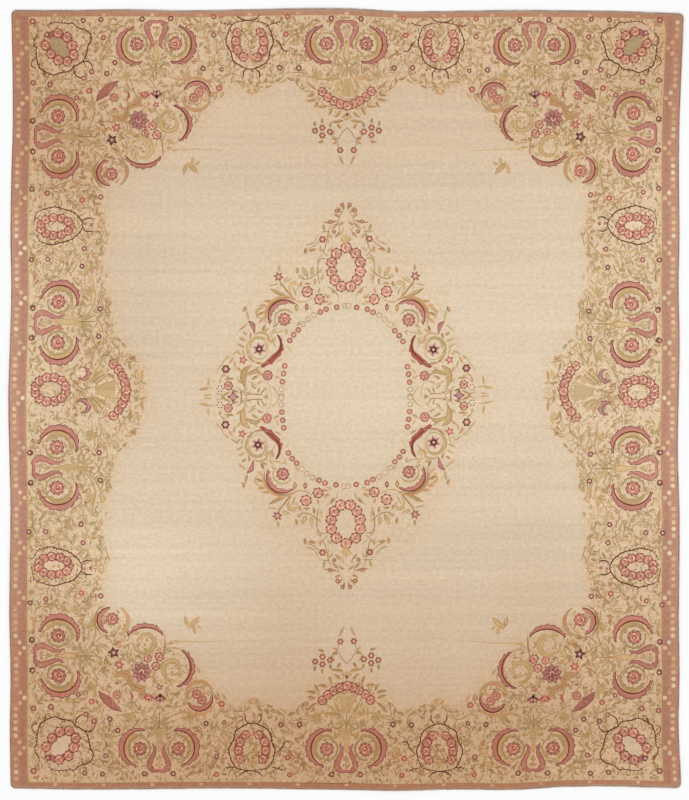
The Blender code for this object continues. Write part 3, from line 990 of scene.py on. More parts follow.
quarter += stripe("old gold", [272 + 386j, 276.5 + 390.5j, 279 + 395.5j], (0.9, 1.4, 1.0))
quarter += stripe("straw", [266 + 380j, 269.5 + 386j, 271 + 395.5j], (0.7, 1.2, 0.9))
for base, tip, width in (
    (210 + 387j, 197 + 389.5j, 3.2),
    (207.4 + 386j, 208.4 + 376j, 2.8),
    (214 + 387j, 205 + 387.5j, 1.4),
    (219 + 383j, 220 + 377j, 3.0),
    (212 + 394j, 202 + 395j, 2.0),
):
    quarter.append(("old gold", leaf(base, tip, width)))
on_cross_axis += star(232.4 + 396j, 6.4, turn=0, points=4, wool="mauve plum", heart="mauve plum")
on_cross_axis.append(("pale mauve", disc(232.4 + 396j, 2.9, points=8)))

# The vines. Fine stems with small leaves fill the borders and corners between the motifs, and run more
# thinly round the medallion. They grow from seeded places and stop where something is in their way.
CELL = 0.5
QUARTER_SIZE = (348, 402)
GUARD_LINE = (29, 17)
OVAL_MIDDLE = (345, 396)
OVAL_REACH = (62, 89)
CELLS_ROUND_MOTIFS = 2
CELLS_ROUND_MEDALLION = 13
FIELD_CORNERS = [
    # across, down: the line between the borders and the open field
    (150, 400),
    (143, 360),
    (122, 342),
    (112, 300),
    (104, 262),
    (112, 228),
    (102, 190),
    (118, 182),
    (132, 168),
    (165, 158),
    (192, 134),
    (216, 104),
    (232, 88),
    (253, 96),
    (290, 78),
    (304, 96),
    (318, 112),
    (347, 120),
]
MEDALLION_ZONE = [
    (347, 205),
    (318, 214),
    (296, 240),
    (268, 258),
    (246, 300),
    (236, 330),
    (222, 352),
    (200, 372),
    (192, 400),
    (347, 400),
]


def inside(points, across, down):
    """Which places lie in a closed line: a ray from them to the right crosses it an odd number of times."""
    odd = np.zeros(np.broadcast(across, down).shape, bool)
    for start, end in zip(points, points[1:] + points[:1]):
        if start.imag != end.imag:
            slope = (end.real - start.real) / (end.imag - start.imag)
            crosses = (start.imag > down) != (end.imag > down)
            odd ^= crosses & (across < start.real + (down - start.imag) * slope)
    return odd


cells_across, cells_down = np.meshgrid(*(np.arange(0, size, CELL) + CELL / 2 for size in QUARTER_SIZE))
in_field = inside([complex(*row) for row in FIELD_CORNERS] + [347 + 400j], cells_across, cells_down)
in_medallion = inside([complex(*row) for row in MEDALLION_ZONE], cells_across, cells_down)
oval_across = (cells_across - OVAL_MIDDLE[0]) / OVAL_REACH[0]
oval_down = (cells_down - OVAL_MIDDLE[1]) / OVAL_REACH[1]
open_oval = oval_across**2 + oval_down**2 < 1
taken = in_field & ~in_medallion
taken |= open_oval & in_medallion
motif_cells = np.zeros_like(taken)
taken |= cells_across < GUARD_LINE[0]
taken |= cells_down < GUARD_LINE[1]


def mark(cells, points):
    """Marks the cells that a patch covers."""
    low_across = max(int((min(at.real for at in points) - 1) / CELL), 0)
    high_across = int((max(at.real for at in points) + 1) / CELL) + 1
    low_down = max(int((min(at.imag for at in points) - 1) / CELL), 0)
    high_down = int((max(at.imag for at in points) + 1) / CELL) + 1
    window = (slice(low_down, high_down), slice(low_across, high_across))
    cells[window] |= inside(points, cells_across[window], cells_down[window])


def spread(cells, count):
    """The cells and their neighbours, so many cells out."""
    for _ in range(count):
        grown = cells.copy()
        for direction in ((0, 1), (0, -1), (1, 0), (-1, 0)):
            grown |= np.roll(cells, direction, axis=(0, 1))
        cells = grown
    return cells


def is_free(at):
    """Whether a place is on the drawn quarter with nothing there yet."""
    row, column = int(at.imag / CELL), int(at.real / CELL)
    return 0 <= row < taken.shape[0] and 0 <= column < taken.shape[1] and not taken[row, column]


for wool, points in quarter + on_long_axis + on_cross_axis:
    mark(motif_cells, points)
near_motifs = spread(motif_cells, CELLS_ROUND_MEDALLION)
taken |= in_medallion & ~near_motifs
taken |= spread(motif_cells, CELLS_ROUND_MOTIFS)

VINE_TRIES = 2400
VINE_STEP = 4.6
VINE_LEAVES = [
    # a leaf's shaded side and its other side
    ("leaf olive", "moss"),
    ("moss", "straw"),
    ("leaf olive", "straw"),
    ("walnut gold", "old gold"),
    ("old gold", "straw"),
    ("walnut gold", "amber"),
]


def grow_vines(rng):
    """Leaves and stems for one quarter."""
    stems = []
    leaves = []
    for _ in range(VINE_TRIES):
        at = complex(rng.uniform(GUARD_LINE[0] - 1, MIRROR_ACROSS), rng.uniform(GUARD_LINE[1], MIRROR_DOWN))
        way = rng.uniform(0, 2 * math.pi)
        bend = rng.choice((-1, 1)) * rng.uniform(0.08, 0.26)
        shade, light = rng.choice(VINE_LEAVES)
        line = [at]
        for k in range(rng.randint(4, 12)):
            if not is_free(at):
                break
            length = rng.uniform(5.4, 9.0)
            side = 1 if k % 2 else -1
            along = cmath.rect(length, way + side * rng.uniform(0.5, 0.9))
            if is_free(at + along) and is_free(at + 0.7 * along) and is_free(at + 0.4 * along):
                leaves += two_sided_leaf(at, at + along, rng.uniform(2.6, 4.0), shade, light)
                mark(taken, leaf(at, at + along, 4.0))
            way += bend
            bend *= 1.14
            at = at + cmath.rect(VINE_STEP, way)
            line.append(at)
        if len(line) > 3:
            stem = stroke(line[:-1], (0.7, 1.1, 0.7), steps=1)
            stems.append(("leaf olive" if rng.random() < 0.6 else "walnut gold", stem))
            mark(taken, stem)
    return stems + leaves


vines = grow_vines(random.Random(5))

# The whole cartoon. The quarter is mirrored four ways, and a slow warp makes the rows of motifs wander by a
# square or two, as hand-made ones do. Guard stripes follow the carpet's own worn edge instead.


def from_edge(side, along, depth):
    """The place that is some squares in from a side of the carpet, so many squares along it."""
    edge = float(np.interp(along, *sides[side]))
    if side == "left":
        return complex(edge + depth, along)
    if side == "right":
        return complex(edge - depth, along)
    if side == "top":
        return complex(along, edge + depth)
    return complex(along, edge - depth)


CARTOON_SIZE = (676, 784)
CARTOON_TOP = 10
CARTOON_BOTTOM = 790
WANDER = [
    # size in squares, waves over the rug's width, waves over its length, phase
    (0.9, 1.3, 0.6, 0.4),
    (0.7, 0.5, 1.7, 2.1),
    (0.5, 2.6, 1.2, 4.0),
    (0.4, 1.9, 3.1, 5.2),
]


def wander(at):
    """A place moved by the warp."""
    moved = at
    for size, over_width, over_length, phase in WANDER:
        waves = over_width * at.real / CARTOON_SIZE[0] + over_length * at.imag / CARTOON_SIZE[1]
        turn = 2 * math.pi * waves + phase
        moved += size * complex(math.cos(turn), math.sin(1.3 * turn + phase))
    return moved


def mirrored(shapes, across, down):
    """The shapes and their images in the mirror lines that are asked for."""
    out = list(shapes)
    if across:
        out += [(wool, [complex(2 * MIRROR_ACROSS - p.real, p.imag) for p in points]) for wool, points in out]
    if down:
        out += [(wool, [complex(p.real, 2 * MIRROR_DOWN - p.imag) for p in points]) for wool, points in out]
    return out


def inset_ring(side_depth, end_depth):
    """A closed line at a depth from each of the carpet's edges, clockwise from the top left."""
    places = []
    top_left = from_edge("left", CARTOON_TOP + end_depth, side_depth)
    bottom_right = from_edge("right", CARTOON_BOTTOM - end_depth, side_depth)
    along_top = np.linspace(top_left.real, bottom_right.real, 50)
    along_side = np.linspace(CARTOON_TOP + end_depth, CARTOON_BOTTOM - end_depth, 60)
    places += [from_edge("top", across, end_depth) for across in along_top]
    places += [from_edge("right", down, side_depth) for down in along_side[1:-1]]
    places += [from_edge("bottom", across, end_depth) for across in along_top[::-1]]
    places += [from_edge("left", down, side_depth) for down in along_side[-2:0:-1]]
    return places


GUARD_DEPTH = 16.6
END_GUARD_DEPTH = 5.6
GUARD_STEP = 12
GUARD_BANDS = [
    # wool, outer and inner depth from the edge, first and last place down
    ("guard rose", 0.9, 16.0, 13, 788),
    ("guard mauve", 9.0, 14.5, 16, 784),
]
BEAD_PERIOD = 50.0
FIRST_BEAD = 59.0
BEADS_BETWEEN = (20, 782)
END_BEAD_COUNT = 13
END_BEAD_SPACING = 48.6
FIRST_END_BEAD = 55.0
GUARD_BEADS = [
    # squares along from the start of the period, depth from the edge
    (0.0, 4.8),
    (6.7, 4.8),
    (13.4, 4.8),
    (20.1, 4.8),
    (26.8, 4.8),
    (33.6, 8.8),
    (39.0, 13.2),
    (44.4, 8.8),
]
BEAD_WOOLS = ("bead buff", "bead buff", "bead buff", "straw", "cream")
cartoon = [("end grey", outline)]
cartoon.append(("end rose", inset_ring(0.9, 1.7)))
for wool, outer_depth, inner_depth, first, last in GUARD_BANDS:
    for side in ("left", "right"):
        inner = [from_edge(side, down, inner_depth) for down in range(first, last + 1, GUARD_STEP)]
        outer = [from_edge(side, down, outer_depth) for down in range(last, first - 1, -GUARD_STEP)]
        cartoon.append((wool, inner + outer))
cartoon.append(("walnut gold", inset_ring(GUARD_DEPTH - 1.3, END_GUARD_DEPTH - 0.4)))
cartoon.append(("straw", inset_ring(GUARD_DEPTH - 0.6, END_GUARD_DEPTH)))
cartoon.append(("ground", inset_ring(GUARD_DEPTH + 0.9, END_GUARD_DEPTH + 0.5)))
plain_bands = len(cartoon)
for side in ("left", "right"):
    start = FIRST_BEAD - BEAD_PERIOD
    while start < CARTOON_BOTTOM:
        for along, depth in GUARD_BEADS:
            if BEADS_BETWEEN[0] < start + along < BEADS_BETWEEN[1]:
                at = from_edge(side, start + along, depth)
                wool = cartoon_rng.choice(BEAD_WOOLS)
                cartoon.append((wool, disc(at, 2.3, turn=cartoon_rng.uniform(0, 40), points=7)))
        start += BEAD_PERIOD
for side in ("top", "bottom"):
    for k in range(END_BEAD_COUNT):
        at = from_edge(side, FIRST_END_BEAD + END_BEAD_SPACING * k, 3.9)
        cartoon.append(("bead buff", disc(at, 2.2, 1.5, points=7)))

drawn = mirrored(vines, True, True)
drawn += mirrored(on_long_axis, False, True)
drawn += mirrored(on_cross_axis, True, False)
for wool, points in mirrored(quarter, True, True):
    # the hearts of the two lower corner wreaths are cream like the ground, not sage
    below = points[0].imag > MIRROR_DOWN
    drawn.append(("cream" if wool == "sage" and below else wool, points))
cartoon += [(wool, [wander(point) for point in points]) for wool, points in drawn]

# The pile wools. Each is one dye bath of hand-spun wool; the yarn takes the dye unevenly, and a new bath
# starts a faint band across the rug. The face is cut wool, matt, with a little sheen at a low angle.
PILE_HEIGHT = 0.006
BORDER_GROUND = "#DFC5A5"
WOOLS = {
    "ground": "#DBC8AE",
    "cream": "#E0CBAE",
    "sage": "#BBA57F",
    "bead buff": "#DAB493",
    "guard rose": "#BE9077",
    "guard mauve": "#B68673",
    "end rose": "#BE8C70",
    "end grey": "#B59C88",
    "straw": "#D2B285",
    "old gold": "#C3A273",
    "walnut gold": "#A98559",
    "leaf olive": "#B0956A",
    "moss": "#B9A276",
    "amber": "#C99B70",
    "shell pink": "#E8C3A9",
    "old rose": "#C48875",
    "faded rose": "#CC957E",
    "rose brown": "#985F4E",
    "madder pink": "#BD8172",
    "madder red": "#A2564A",
    "madder brown": "#7C3B28",
    "mauve": "#AF776D",
    "pale mauve": "#B98B82",
    "mauve plum": "#935E56",
    "plum": "#75493F",
    "dark plum": "#5C3330",
    "crimson": "#B26051",
    "cherry": "#9C6454",
    "walnut": "#683013",
}


def linear(hex_colour):
    """An sRGB hex colour as linear red, green and blue."""
    channels = [int(hex_colour[k : k + 2], 16) / 255 for k in (1, 3, 5)]
    return [c / 12.92 if c <= 0.04045 else ((c + 0.055) / 1.055) ** 2.4 for c in channels]


def add_node(material, kind, inputs=None, **settings):
    """A node with its settings, and its inputs set to values or linked from sockets."""
    node = material.node_tree.nodes.new(kind)
    for name, value in settings.items():
        setattr(node, name, value)
    for name, value in (inputs or {}).items():
        if isinstance(value, bpy.types.NodeSocket):
            material.node_tree.links.new(value, node.inputs[name])
        else:
            node.inputs[name].default_value = value
    return node


def new_material(name):
    """A material with its nodes, and its shader."""
    material = bpy.data.materials.new(name)
    material.use_nodes = True
    return material, material.node_tree.nodes["Principled BSDF"]


def worked_out(material, operation, *values):
    """A socket for what a piece of arithmetic on numbers or sockets gives."""
    node = add_node(material, "ShaderNodeMath", dict(enumerate(values)), operation=operation)
    return node.outputs["Value"]


def weighted_sum(material, terms, total):
    """A socket for a number plus some sockets, each less a half and times its weight."""
    for socket, weight in terms:
        total -= 0.5 * weight
    for socket, weight in terms:
        total = worked_out(material, "MULTIPLY_ADD", socket, weight, total)
    return total


def streaks(material, place, scale, detail):
    """A noise drawn out by different scales across and along the rug."""
    drawn = add_node(material, "ShaderNodeMapping", {"Vector": place, "Scale": scale}).outputs["Vector"]
    noise = add_node(
        material, "ShaderNodeTexNoise", {"Vector": drawn, "Scale": 1.0, "Detail": detail, "Roughness": 0.6}
    )
    return noise.outputs["Fac"]


# The borders' ground is knotted from leavings of several baths, so it is mottled, a little greener here
# and pinker there. Between the drawn vines it is strewn with finer sprigs, only a knot or two wide. They are
# too many to cut out one by one, so they are painted: each row is one lot, lying one way before it sways.
GROUND_FLECKS = [
    # flecks in a metre, how much of the ground, wool
    (60.0, 0.50, "moss"),
    (45.0, 0.36, "bead buff"),
    (90.0, 0.45, "cream"),
]
FINE_SPRIGS = [
    # direction in degrees, sprigs in a metre across and along, share of them knotted, wool
    (38, 66, 26, 0.22, "leaf olive"),
    (-35, 74, 30, 0.20, "walnut gold"),
    (84, 70, 28, 0.20, "leaf olive"),
    (8, 62, 30, 0.16, "old gold"),
    (-72, 84, 34, 0.08, "old rose"),
]
SPRIG_REACH = 0.36


def mixed_by(material, factor, under, over, blend="MIX"):
    """One colour laid over another as far as the factor says."""
    colours = {"Factor": factor, "A": under, "B": over}
    return add_node(material, "ShaderNodeMix", colours, data_type="RGBA", blend_type=blend).outputs["Result"]


def risen(material, value, low, high, top=1.0):
    """A number that rises from 0 to its top while another goes from low to high."""
    reach = {"Value": value, "From Min": low, "From Max": high, "To Max": top}
    return add_node(material, "ShaderNodeMapRange", reach).outputs["Result"]


def mottled(material, place, ground, border):
    """The ground of the borders with its flecks and fine sprigs."""
    for count, (scale, amount, wool) in enumerate(GROUND_FLECKS):
        moved = add_node(
            material, "ShaderNodeVectorMath", {0: place, 1: (0.0, 0.0, 0.7 + count)}, operation="ADD"
        )
        noise = {"Vector": moved.outputs["Vector"], "Scale": scale, "Detail": 2.0, "Roughness": 0.6}
        value = add_node(material, "ShaderNodeTexNoise", noise).outputs["Fac"]
        fleck = risen(material, value, 0.46, 0.66, amount)
        fleck = worked_out(material, "MULTIPLY", fleck, border)
        ground = mixed_by(material, fleck, ground, (*linear(WOOLS[wool]), 1.0))
    sway = add_node(material, "ShaderNodeTexNoise", {"Vector": place, "Scale": 26.0, "Detail": 1.0})
    swayed = add_node(
        material,
        "ShaderNodeVectorMath",
        {0: sway.outputs["Color"], 1: (0.07, 0.07, 0.0), 2: place},
        operation="MULTIPLY_ADD",
    ).outputs["Vector"]
    inside_border = risen(material, border, 0.7, 0.95)
    for way, across, along, share, wool in FINE_SPRIGS:
        turned = {"Vector": swayed, "Rotation": (0.0, 0.0, math.radians(way)), "Scale": (across, along, 1.0)}
        drawn = add_node(material, "ShaderNodeMapping", turned).outputs["Vector"]
        cells = add_node(
            material, "ShaderNodeTexVoronoi", {"Vector": drawn, "Scale": 1.0}, voronoi_dimensions="2D"
        )
        painted = risen(material, cells.outputs["Distance"], SPRIG_REACH, 0.6 * SPRIG_REACH)
        pick = add_node(material, "ShaderNodeSeparateColor", {"Color": cells.outputs["Color"]}).outputs["Red"]
        kept = worked_out(material, "LESS_THAN", pick, share)
        kept = worked_out(material, "MULTIPLY", kept, inside_border)
        painted = worked_out(material, "MULTIPLY", painted, kept)
        ground = mixed_by(material, painted, ground, (*linear(WOOLS[wool]), 1.0))
    return ground


# The rug's two ends have browned with age, the bottom one most: how much at some places along it.
AGED_WOOL = (0.74, 0.60, 0.50)
AGE_ALONG = [
    # along in metres, amount
    (-2.14, 0.95),
    (-1.80, 0.95),
    (-1.50, 0.70),
    (-1.23, 0.52),
    (-0.93, 0.33),
    (-0.63, 0.20),
    (-0.33, 0.10),
    (0.00, 0.02),
    (0.60, 0.04),
    (1.00, 0.18),
    (1.45, 0.36),
    (2.14, 0.36),
]
STAINS = [
    # x, y, reach across, reach along in metres, amount
    (-1.80, 2.00, 0.50, 0.50, 0.42),
    (-1.56, 1.32, 0.30, 0.36, 0.38),
    (1.80, 2.00, 0.45, 0.50, 0.35),
    (-0.15, 1.30, 0.50, 0.35, 0.10),
    (-1.60, -1.30, 0.60, 0.50, 0.15),
    (1.75, 0.60, 0.35, 1.30, -0.20),
    (0.10, -0.60, 0.60, 0.30, 0.10),
    (-1.20, 0.35, 0.45, 0.70, 0.28),
    (-1.10, -1.05, 0.45, 0.42, -0.38),
    (-1.62, -1.92, 0.50, 0.45, -0.20),
    (1.62, -1.92, 0.55, 0.50, -0.30),
]


def age_at(x, y):
    """How much the wool has browned at some places."""
    rows = np.array(AGE_ALONG)
    age = np.interp(y + 0.05 * np.sin(4.1 * x) + 0.04 * np.sin(9.7 * x + 1), rows[:, 0], rows[:, 1])
    for stain_x, stain_y, reach_x, reach_y, amount in STAINS:
        age += amount * np.exp(-(((x - stain_x) / reach_x) ** 2) - ((y - stain_y) / reach_y) ** 2)
    return np.clip(age, 0, 1)


UNEVENNESS = [
    # what varies, how often in a metre across the rug and along it, detail, share of the light
    ("narrow bands", 0.5, 34.0, 4.0, 0.22),
    ("wide bands", 0.35, 7.0, 2.0, 0.14),
    ("warps", 36.0, 1.4, 3.0, 0.06),
    ("knots", 210.0, 190.0, 2.0, 0.60),
    ("patches", 45.0, 55.0, 2.0, 0.30),
]
DYE_LOT_SHARE = 0.24
KNOTS_IN_METRE = 260.0


def pile_wool(name, hex_colour):
    """Cut pile in one dye, with its bands and patches, a shade of its own for each leaf, and age."""
    material, shader = new_material(f"{name} knotted pile wool")
    place = add_node(material, "ShaderNodeTexCoord").outputs["Object"]
    varying = {}
    for what, across, along, detail, _ in UNEVENNESS:
        varying[what] = streaks(material, place, (across, along, 1.0), detail)
    lot = add_node(material, "ShaderNodeAttribute", attribute_name="dye_lot").outputs["Fac"]
    terms = [(varying[what], share) for what, _, _, _, share in UNEVENNESS]
    light = weighted_sum(material, [*terms, (lot, DYE_LOT_SHARE)], 1.0)
    hue = weighted_sum(material, [(varying["patches"], 0.05)], 0.5)
    colour = (*linear(hex_colour), 1.0)
    if name == "ground":
        border = add_node(material, "ShaderNodeAttribute", attribute_name="border").outputs["Fac"]
        colour = mixed_by(material, border, colour, (*linear(BORDER_GROUND), 1.0))
        colour = mottled(material, place, colour, border)
    age = add_node(material, "ShaderNodeAttribute", attribute_name="age").outputs["Fac"]
    aged = mixed_by(material, age, colour, (*AGED_WOOL, 1.0), blend="MULTIPLY")
    dyed = add_node(
        material, "ShaderNodeHueSaturation", {"Color": aged, "Hue": hue, "Value": light, "Saturation": 1.0}
    )
    bumps = add_node(
        material, "ShaderNodeTexVoronoi", {"Vector": place, "Scale": KNOTS_IN_METRE}, voronoi_dimensions="2D"
    )
    bump = add_node(
        material, "ShaderNodeBump", {"Height": bumps.outputs["Distance"], "Strength": 0.5, "Distance": 0.001}
    )
    links = material.node_tree.links
    links.new(dyed.outputs["Color"], shader.inputs["Base Color"])
    links.new(bump.outputs["Normal"], shader.inputs["Normal"])
    shader.inputs["Roughness"].default_value = 0.92
    shader.inputs["Specular IOR Level"].default_value = 0.15
    shader.inputs["Sheen Weight"].default_value = 0.05
    shader.inputs["Sheen Roughness"].default_value = 0.6
    return material


def same_way_round(points):
    """The points in anticlockwise order as seen from above, where down on the paper is towards -Y."""
    area = sum(a.real * b.imag - b.real * a.imag for a, b in zip(points, points[1:] + points[:1]))
    return points if area < 0 else points[::-1]


def cut(ring, patches=(), loose=(), edges=()):
    """The carpet cut along the edges of all patches, into points, triangles, and the patch that each lies in.

    The last patch painted over a place is the one that shows there. Loose points can be added, with edges
    between them.
    """
    lines = [same_way_round(ring)] + [same_way_round(points) for points in patches]
    verts, faces = [], []
    for points in lines:
        faces.append(list(range(len(verts), len(verts) + len(points))))
        verts += points
    edges = [(a + len(verts), b + len(verts)) for a, b in edges]
    flat = [Vector(on_floor(at)) for at in [*verts, *loose]]
    found = delaunay_2d_cdt(flat, edges, faces, 1, 1e-6, True)
    points = np.array([tuple(at) for at in found[0]])
    kept = [k for k, covered in enumerate(found[5]) if 0 in covered]
    triangles = np.array([found[2][k] for k in kept])
    patch = np.array([max(found[5][k]) - 1 for k in kept])
    return points, triangles, patch


def grid_points(ring, spacing):
    """Loose points inside a closed line, which let the surface bend."""
    left, right = min(at.real for at in ring), max(at.real for at in ring)
    top, bottom = min(at.imag for at in ring), max(at.imag for at in ring)
    across, down = np.meshgrid(np.arange(left, right, spacing), np.arange(top, bottom, spacing))
    keep = inside(ring, across, down)
    return [complex(a, d) for a, d in zip(across[keep], down[keep])]


def edges_that_show(points, triangles, patch):
    """The edges between different patches, as places and pairs of them, less the places that add no bend."""
    edges = np.concatenate([triangles[:, [0, 1]], triangles[:, [1, 2]], triangles[:, [2, 0]]])
    owner = np.concatenate([patch, patch, patch])
    key = edges.min(axis=1).astype(np.int64) * len(points) + edges.max(axis=1)
    order = np.argsort(key, kind="stable")
    key, owner = key[order], owner[order]
    between_patches = key[1:][(key[1:] == key[:-1]) & (owner[1:] != owner[:-1])]
    near = {}
    starts, ends = np.divmod(between_patches, len(points))
    for start, end in zip(starts.tolist(), ends.tolist()):
        near.setdefault(start, set()).add(end)
        near.setdefault(end, set()).add(start)
    for k in list(near):
        if len(near[k]) != 2:
            continue
        start, end = near[k]
        run = complex(*(points[end] - points[start]))
        step = complex(*(points[k] - points[start]))
        if end not in near[start] and abs((step * run.conjugate()).imag) < STRAIGHT_ENOUGH * abs(run):
            near[start].remove(k)
            near[end].remove(k)
            near[start].add(end)
            near[end].add(start)
            del near[k]
    place = {k: count for count, k in enumerate(near)}
    pairs = [(place[k], place[other]) for k in near for other in near[k] if other > k]
    return [on_paper(*points[k]) for k in near], pairs


def same_patches(points, triangles, before):
    """The patch of each triangle, looked up in an earlier cut."""
    old_points, old_triangles, old_patch = before
    tree = BVHTree.FromPolygons([(x, y, 0) for x, y in old_points], old_triangles.tolist())
    middles = points[triangles].mean(axis=1)
    return np.array([old_patch[tree.find_nearest((x, y, 0))[2]] for x, y in middles.tolist()])


def rim_of(triangles):
    """The outer edge of a set of triangles, as a closed list of points in order."""
    edges = np.concatenate([triangles[:, [0, 1]], triangles[:, [1, 2]], triangles[:, [2, 0]]])
    known = {(int(a), int(b)) for a, b in edges}
    following = {a: b for a, b in known if (b, a) not in known}
    first = next(iter(following))
    ring = [first]
    while following[ring[-1]] != first:
        ring.append(following[ring[-1]])
    return ring


# How high the cloth stands off the floor. The CAD top is sampled on a coarse lattice and read back through
# a smooth curve, so that the low ripples have no creases.
LATTICE = 0.12
THICKNESS = 0.009
carpet_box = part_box("carpet")


def sample_lift():
    """Heights of the underside at the lattice points."""
    source = bpy.data.objects["carpet"].data
    tree = BVHTree.FromPolygons([v.co for v in source.vertices], [p.vertices[:] for p in source.polygons])
    columns = np.arange(carpet_box[0][0] - 2 * LATTICE, carpet_box[1][0] + 3 * LATTICE, LATTICE)
    rows = np.arange(carpet_box[0][1] - 2 * LATTICE, carpet_box[1][1] + 3 * LATTICE, LATTICE)
    heights = np.zeros((len(rows), len(columns)))
    for j, y in enumerate(rows):
        for i, x in enumerate(columns):
            near = tree.find_nearest(Vector((x, y, 0.02)))[0]
            heights[j, i] = max(near.z - THICKNESS, 0.0)
    return columns, rows, heights


lattice_columns, lattice_rows, lattice_heights = sample_lift()


def spline_weights(t):
    """The four weights of a smooth curve a part t of the way between two lattice points."""
    return [(1 - t) ** 3 / 6, (3 * t**3 - 6 * t**2 + 4) / 6, (-3 * t**3 + 3 * t**2 + 3 * t + 1) / 6, t**3 / 6]


def lift(x, y):
    """How high the underside stands off the floor at some points."""
    place_x = (x - lattice_columns[0]) / LATTICE
    place_y = (y - lattice_rows[0]) / LATTICE
    i, j = place_x.astype(int), place_y.astype(int)
    weights_x, weights_y = spline_weights(place_x - i), spline_weights(place_y - j)
    height = np.zeros(len(x))
    for down in range(4):
        for along in range(4):
            height += weights_x[along] * weights_y[down] * lattice_heights[j + down - 1, i + along - 1]
    return height


def edge_distance(points):
    """How far each point is from the nearest edge of the carpet, in metres."""
    across = points[:, 0] / SQUARE + PAPER_MIDDLE.real
    down = PAPER_MIDDLE.imag - points[:, 1] / SQUARE
    away = [
        across - np.interp(down, *sides["left"]),
        np.interp(down, *sides["right"]) - across,
        down - np.interp(across, *sides["top"]),
        np.interp(across, *sides["bottom"]) - down,
    ]
    return np.maximum(np.min(away, axis=0), 0.0) * SQUARE


names = list(WOOLS)
materials = [pile_wool(name, colour) for name, colour in WOOLS.items()]
BEND_SPACING = 9.0
BACK_SPACING = 24.0
STRAIGHT_ENOUGH = 0.0007
whole_cut = cut(outline, patches=[line for _, line in cartoon])
line_points, line_pairs = edges_that_show(*whole_cut)
points, triangles, _ = cut(outline, loose=line_points + grid_points(outline, BEND_SPACING), edges=line_pairs)
patch = same_patches(points, triangles, whole_cut)

patch_wools = np.array([names.index(wool) for wool, _ in cartoon])
lots = np.random.default_rng(3).uniform(0, 1, len(cartoon))
lots[:plain_bands] = 0.5


MAP_MARGIN = 0.004
RIM_IN_MAP = 0.002


def build_slab(name, face_up, low, high, roll):
    """A closed slab of the carpet from low to high, with the pattern on its upper or its lower face."""
    rim = rim_of(triangles)
    ring = [on_paper(*points[k]) for k in rim]
    plain_points, plain_triangles, _ = cut(ring, loose=grid_points(ring, BACK_SPACING))
    plain_rim = {(round(x, 5), round(y, 5)): k for k, (x, y) in enumerate(plain_points)}
    below = [plain_rim[tuple(np.round(points[k], 5))] for k in rim]
    count = len(points)
    bed = lift(points[:, 0], points[:, 1])
    plain_bed = lift(plain_points[:, 0], plain_points[:, 1])
    rounding = roll * np.clip(1 - edge_distance(points) / 0.010, 0, 1) ** 2
    shown_z, hidden_z = (high - rounding, low) if face_up else (low + rounding, high)
    verts = np.concatenate([
        np.column_stack([points, bed + shown_z]),
        np.column_stack([plain_points, plain_bed + hidden_z]),
    ])
    faces = triangles.tolist() + (plain_triangles[:, ::-1] + count).tolist()
    for k, start in enumerate(rim):
        end = rim[(k + 1) % len(rim)]
        faces.append([end, start, below[k] + count, below[(k + 1) % len(rim)] + count])
    if not face_up:
        faces = [face[::-1] for face in faces]
    mesh = bpy.data.meshes.new(name)
    mesh.from_pydata(verts.tolist(), [], faces)
    for material in materials:
        mesh.materials.append(material)
    rest = len(faces) - len(triangles)
    slots = np.concatenate([patch_wools[patch], np.full(rest, names.index("end grey"))])
    mesh.polygons.foreach_set("material_index", slots.astype(np.int32))
    shade = mesh.attributes.new("dye_lot", "FLOAT", "FACE")
    shade.data.foreach_set("value", np.concatenate([lots[patch], np.zeros(rest)]).astype(np.float32))
    lay_out(mesh, verts, count, len(triangles), len(plain_triangles), face_up)
    across, down = verts[:, 0] / SQUARE + PAPER_MIDDLE.real, PAPER_MIDDLE.imag - verts[:, 1] / SQUARE
    border = mesh.attributes.new("border", "FLOAT", "POINT")
    border.data.foreach_set("value", border_share(across, down).astype(np.float32))
    age = mesh.attributes.new("age", "FLOAT", "POINT")
    age.data.foreach_set("value", age_at(verts[:, 0], verts[:, 1]).astype(np.float32))
    mesh.validate()
    mesh.update()
    slab = bpy.data.objects.new(name, mesh)
    bpy.context.scene.collection.objects.link(slab)
    mesh.shade_smooth()
    mesh.set_sharp_from_angle(angle=math.radians(50))
    return slab


def lay_out(mesh, verts, pattern_verts, pattern_faces, plain_faces, face_up):
    """The baking map: the patterned face at one scale, the plain face small beside it, the rim outwards."""
    flat = verts[:, :2] - verts[:, :2].min(axis=0)
    if not face_up:
        flat[:, 0] = flat[:, 0].max() - flat[:, 0]
    pattern = MAP_MARGIN + flat * (1 - 2 * MAP_MARGIN) / flat[:, 1].max()
    spare = pattern[:, 0].max() + 2 * MAP_MARGIN
    plain = np.array([spare, MAP_MARGIN]) + flat * (1 - MAP_MARGIN - spare) / flat[:, 0].max()
    folded = pattern.copy()
    away = pattern[pattern_verts:] - pattern[:pattern_verts].mean(axis=0)
    folded[pattern_verts:] += np.sign(away) * (np.abs(away) > 0.4) * RIM_IN_MAP
    corners = np.empty(len(mesh.loops), dtype=np.int32)
    mesh.loops.foreach_get("vertex_index", corners)
    places = folded[corners]
    places[: 3 * pattern_faces] = pattern[corners[: 3 * pattern_faces]]
    plain_corners = slice(3 * pattern_faces, 3 * (pattern_faces + plain_faces))
    places[plain_corners] = plain[corners[plain_corners]]
    mesh.uv_layers.new(name="OFBake").data.foreach_set("uv", places.ravel().astype(np.float32))


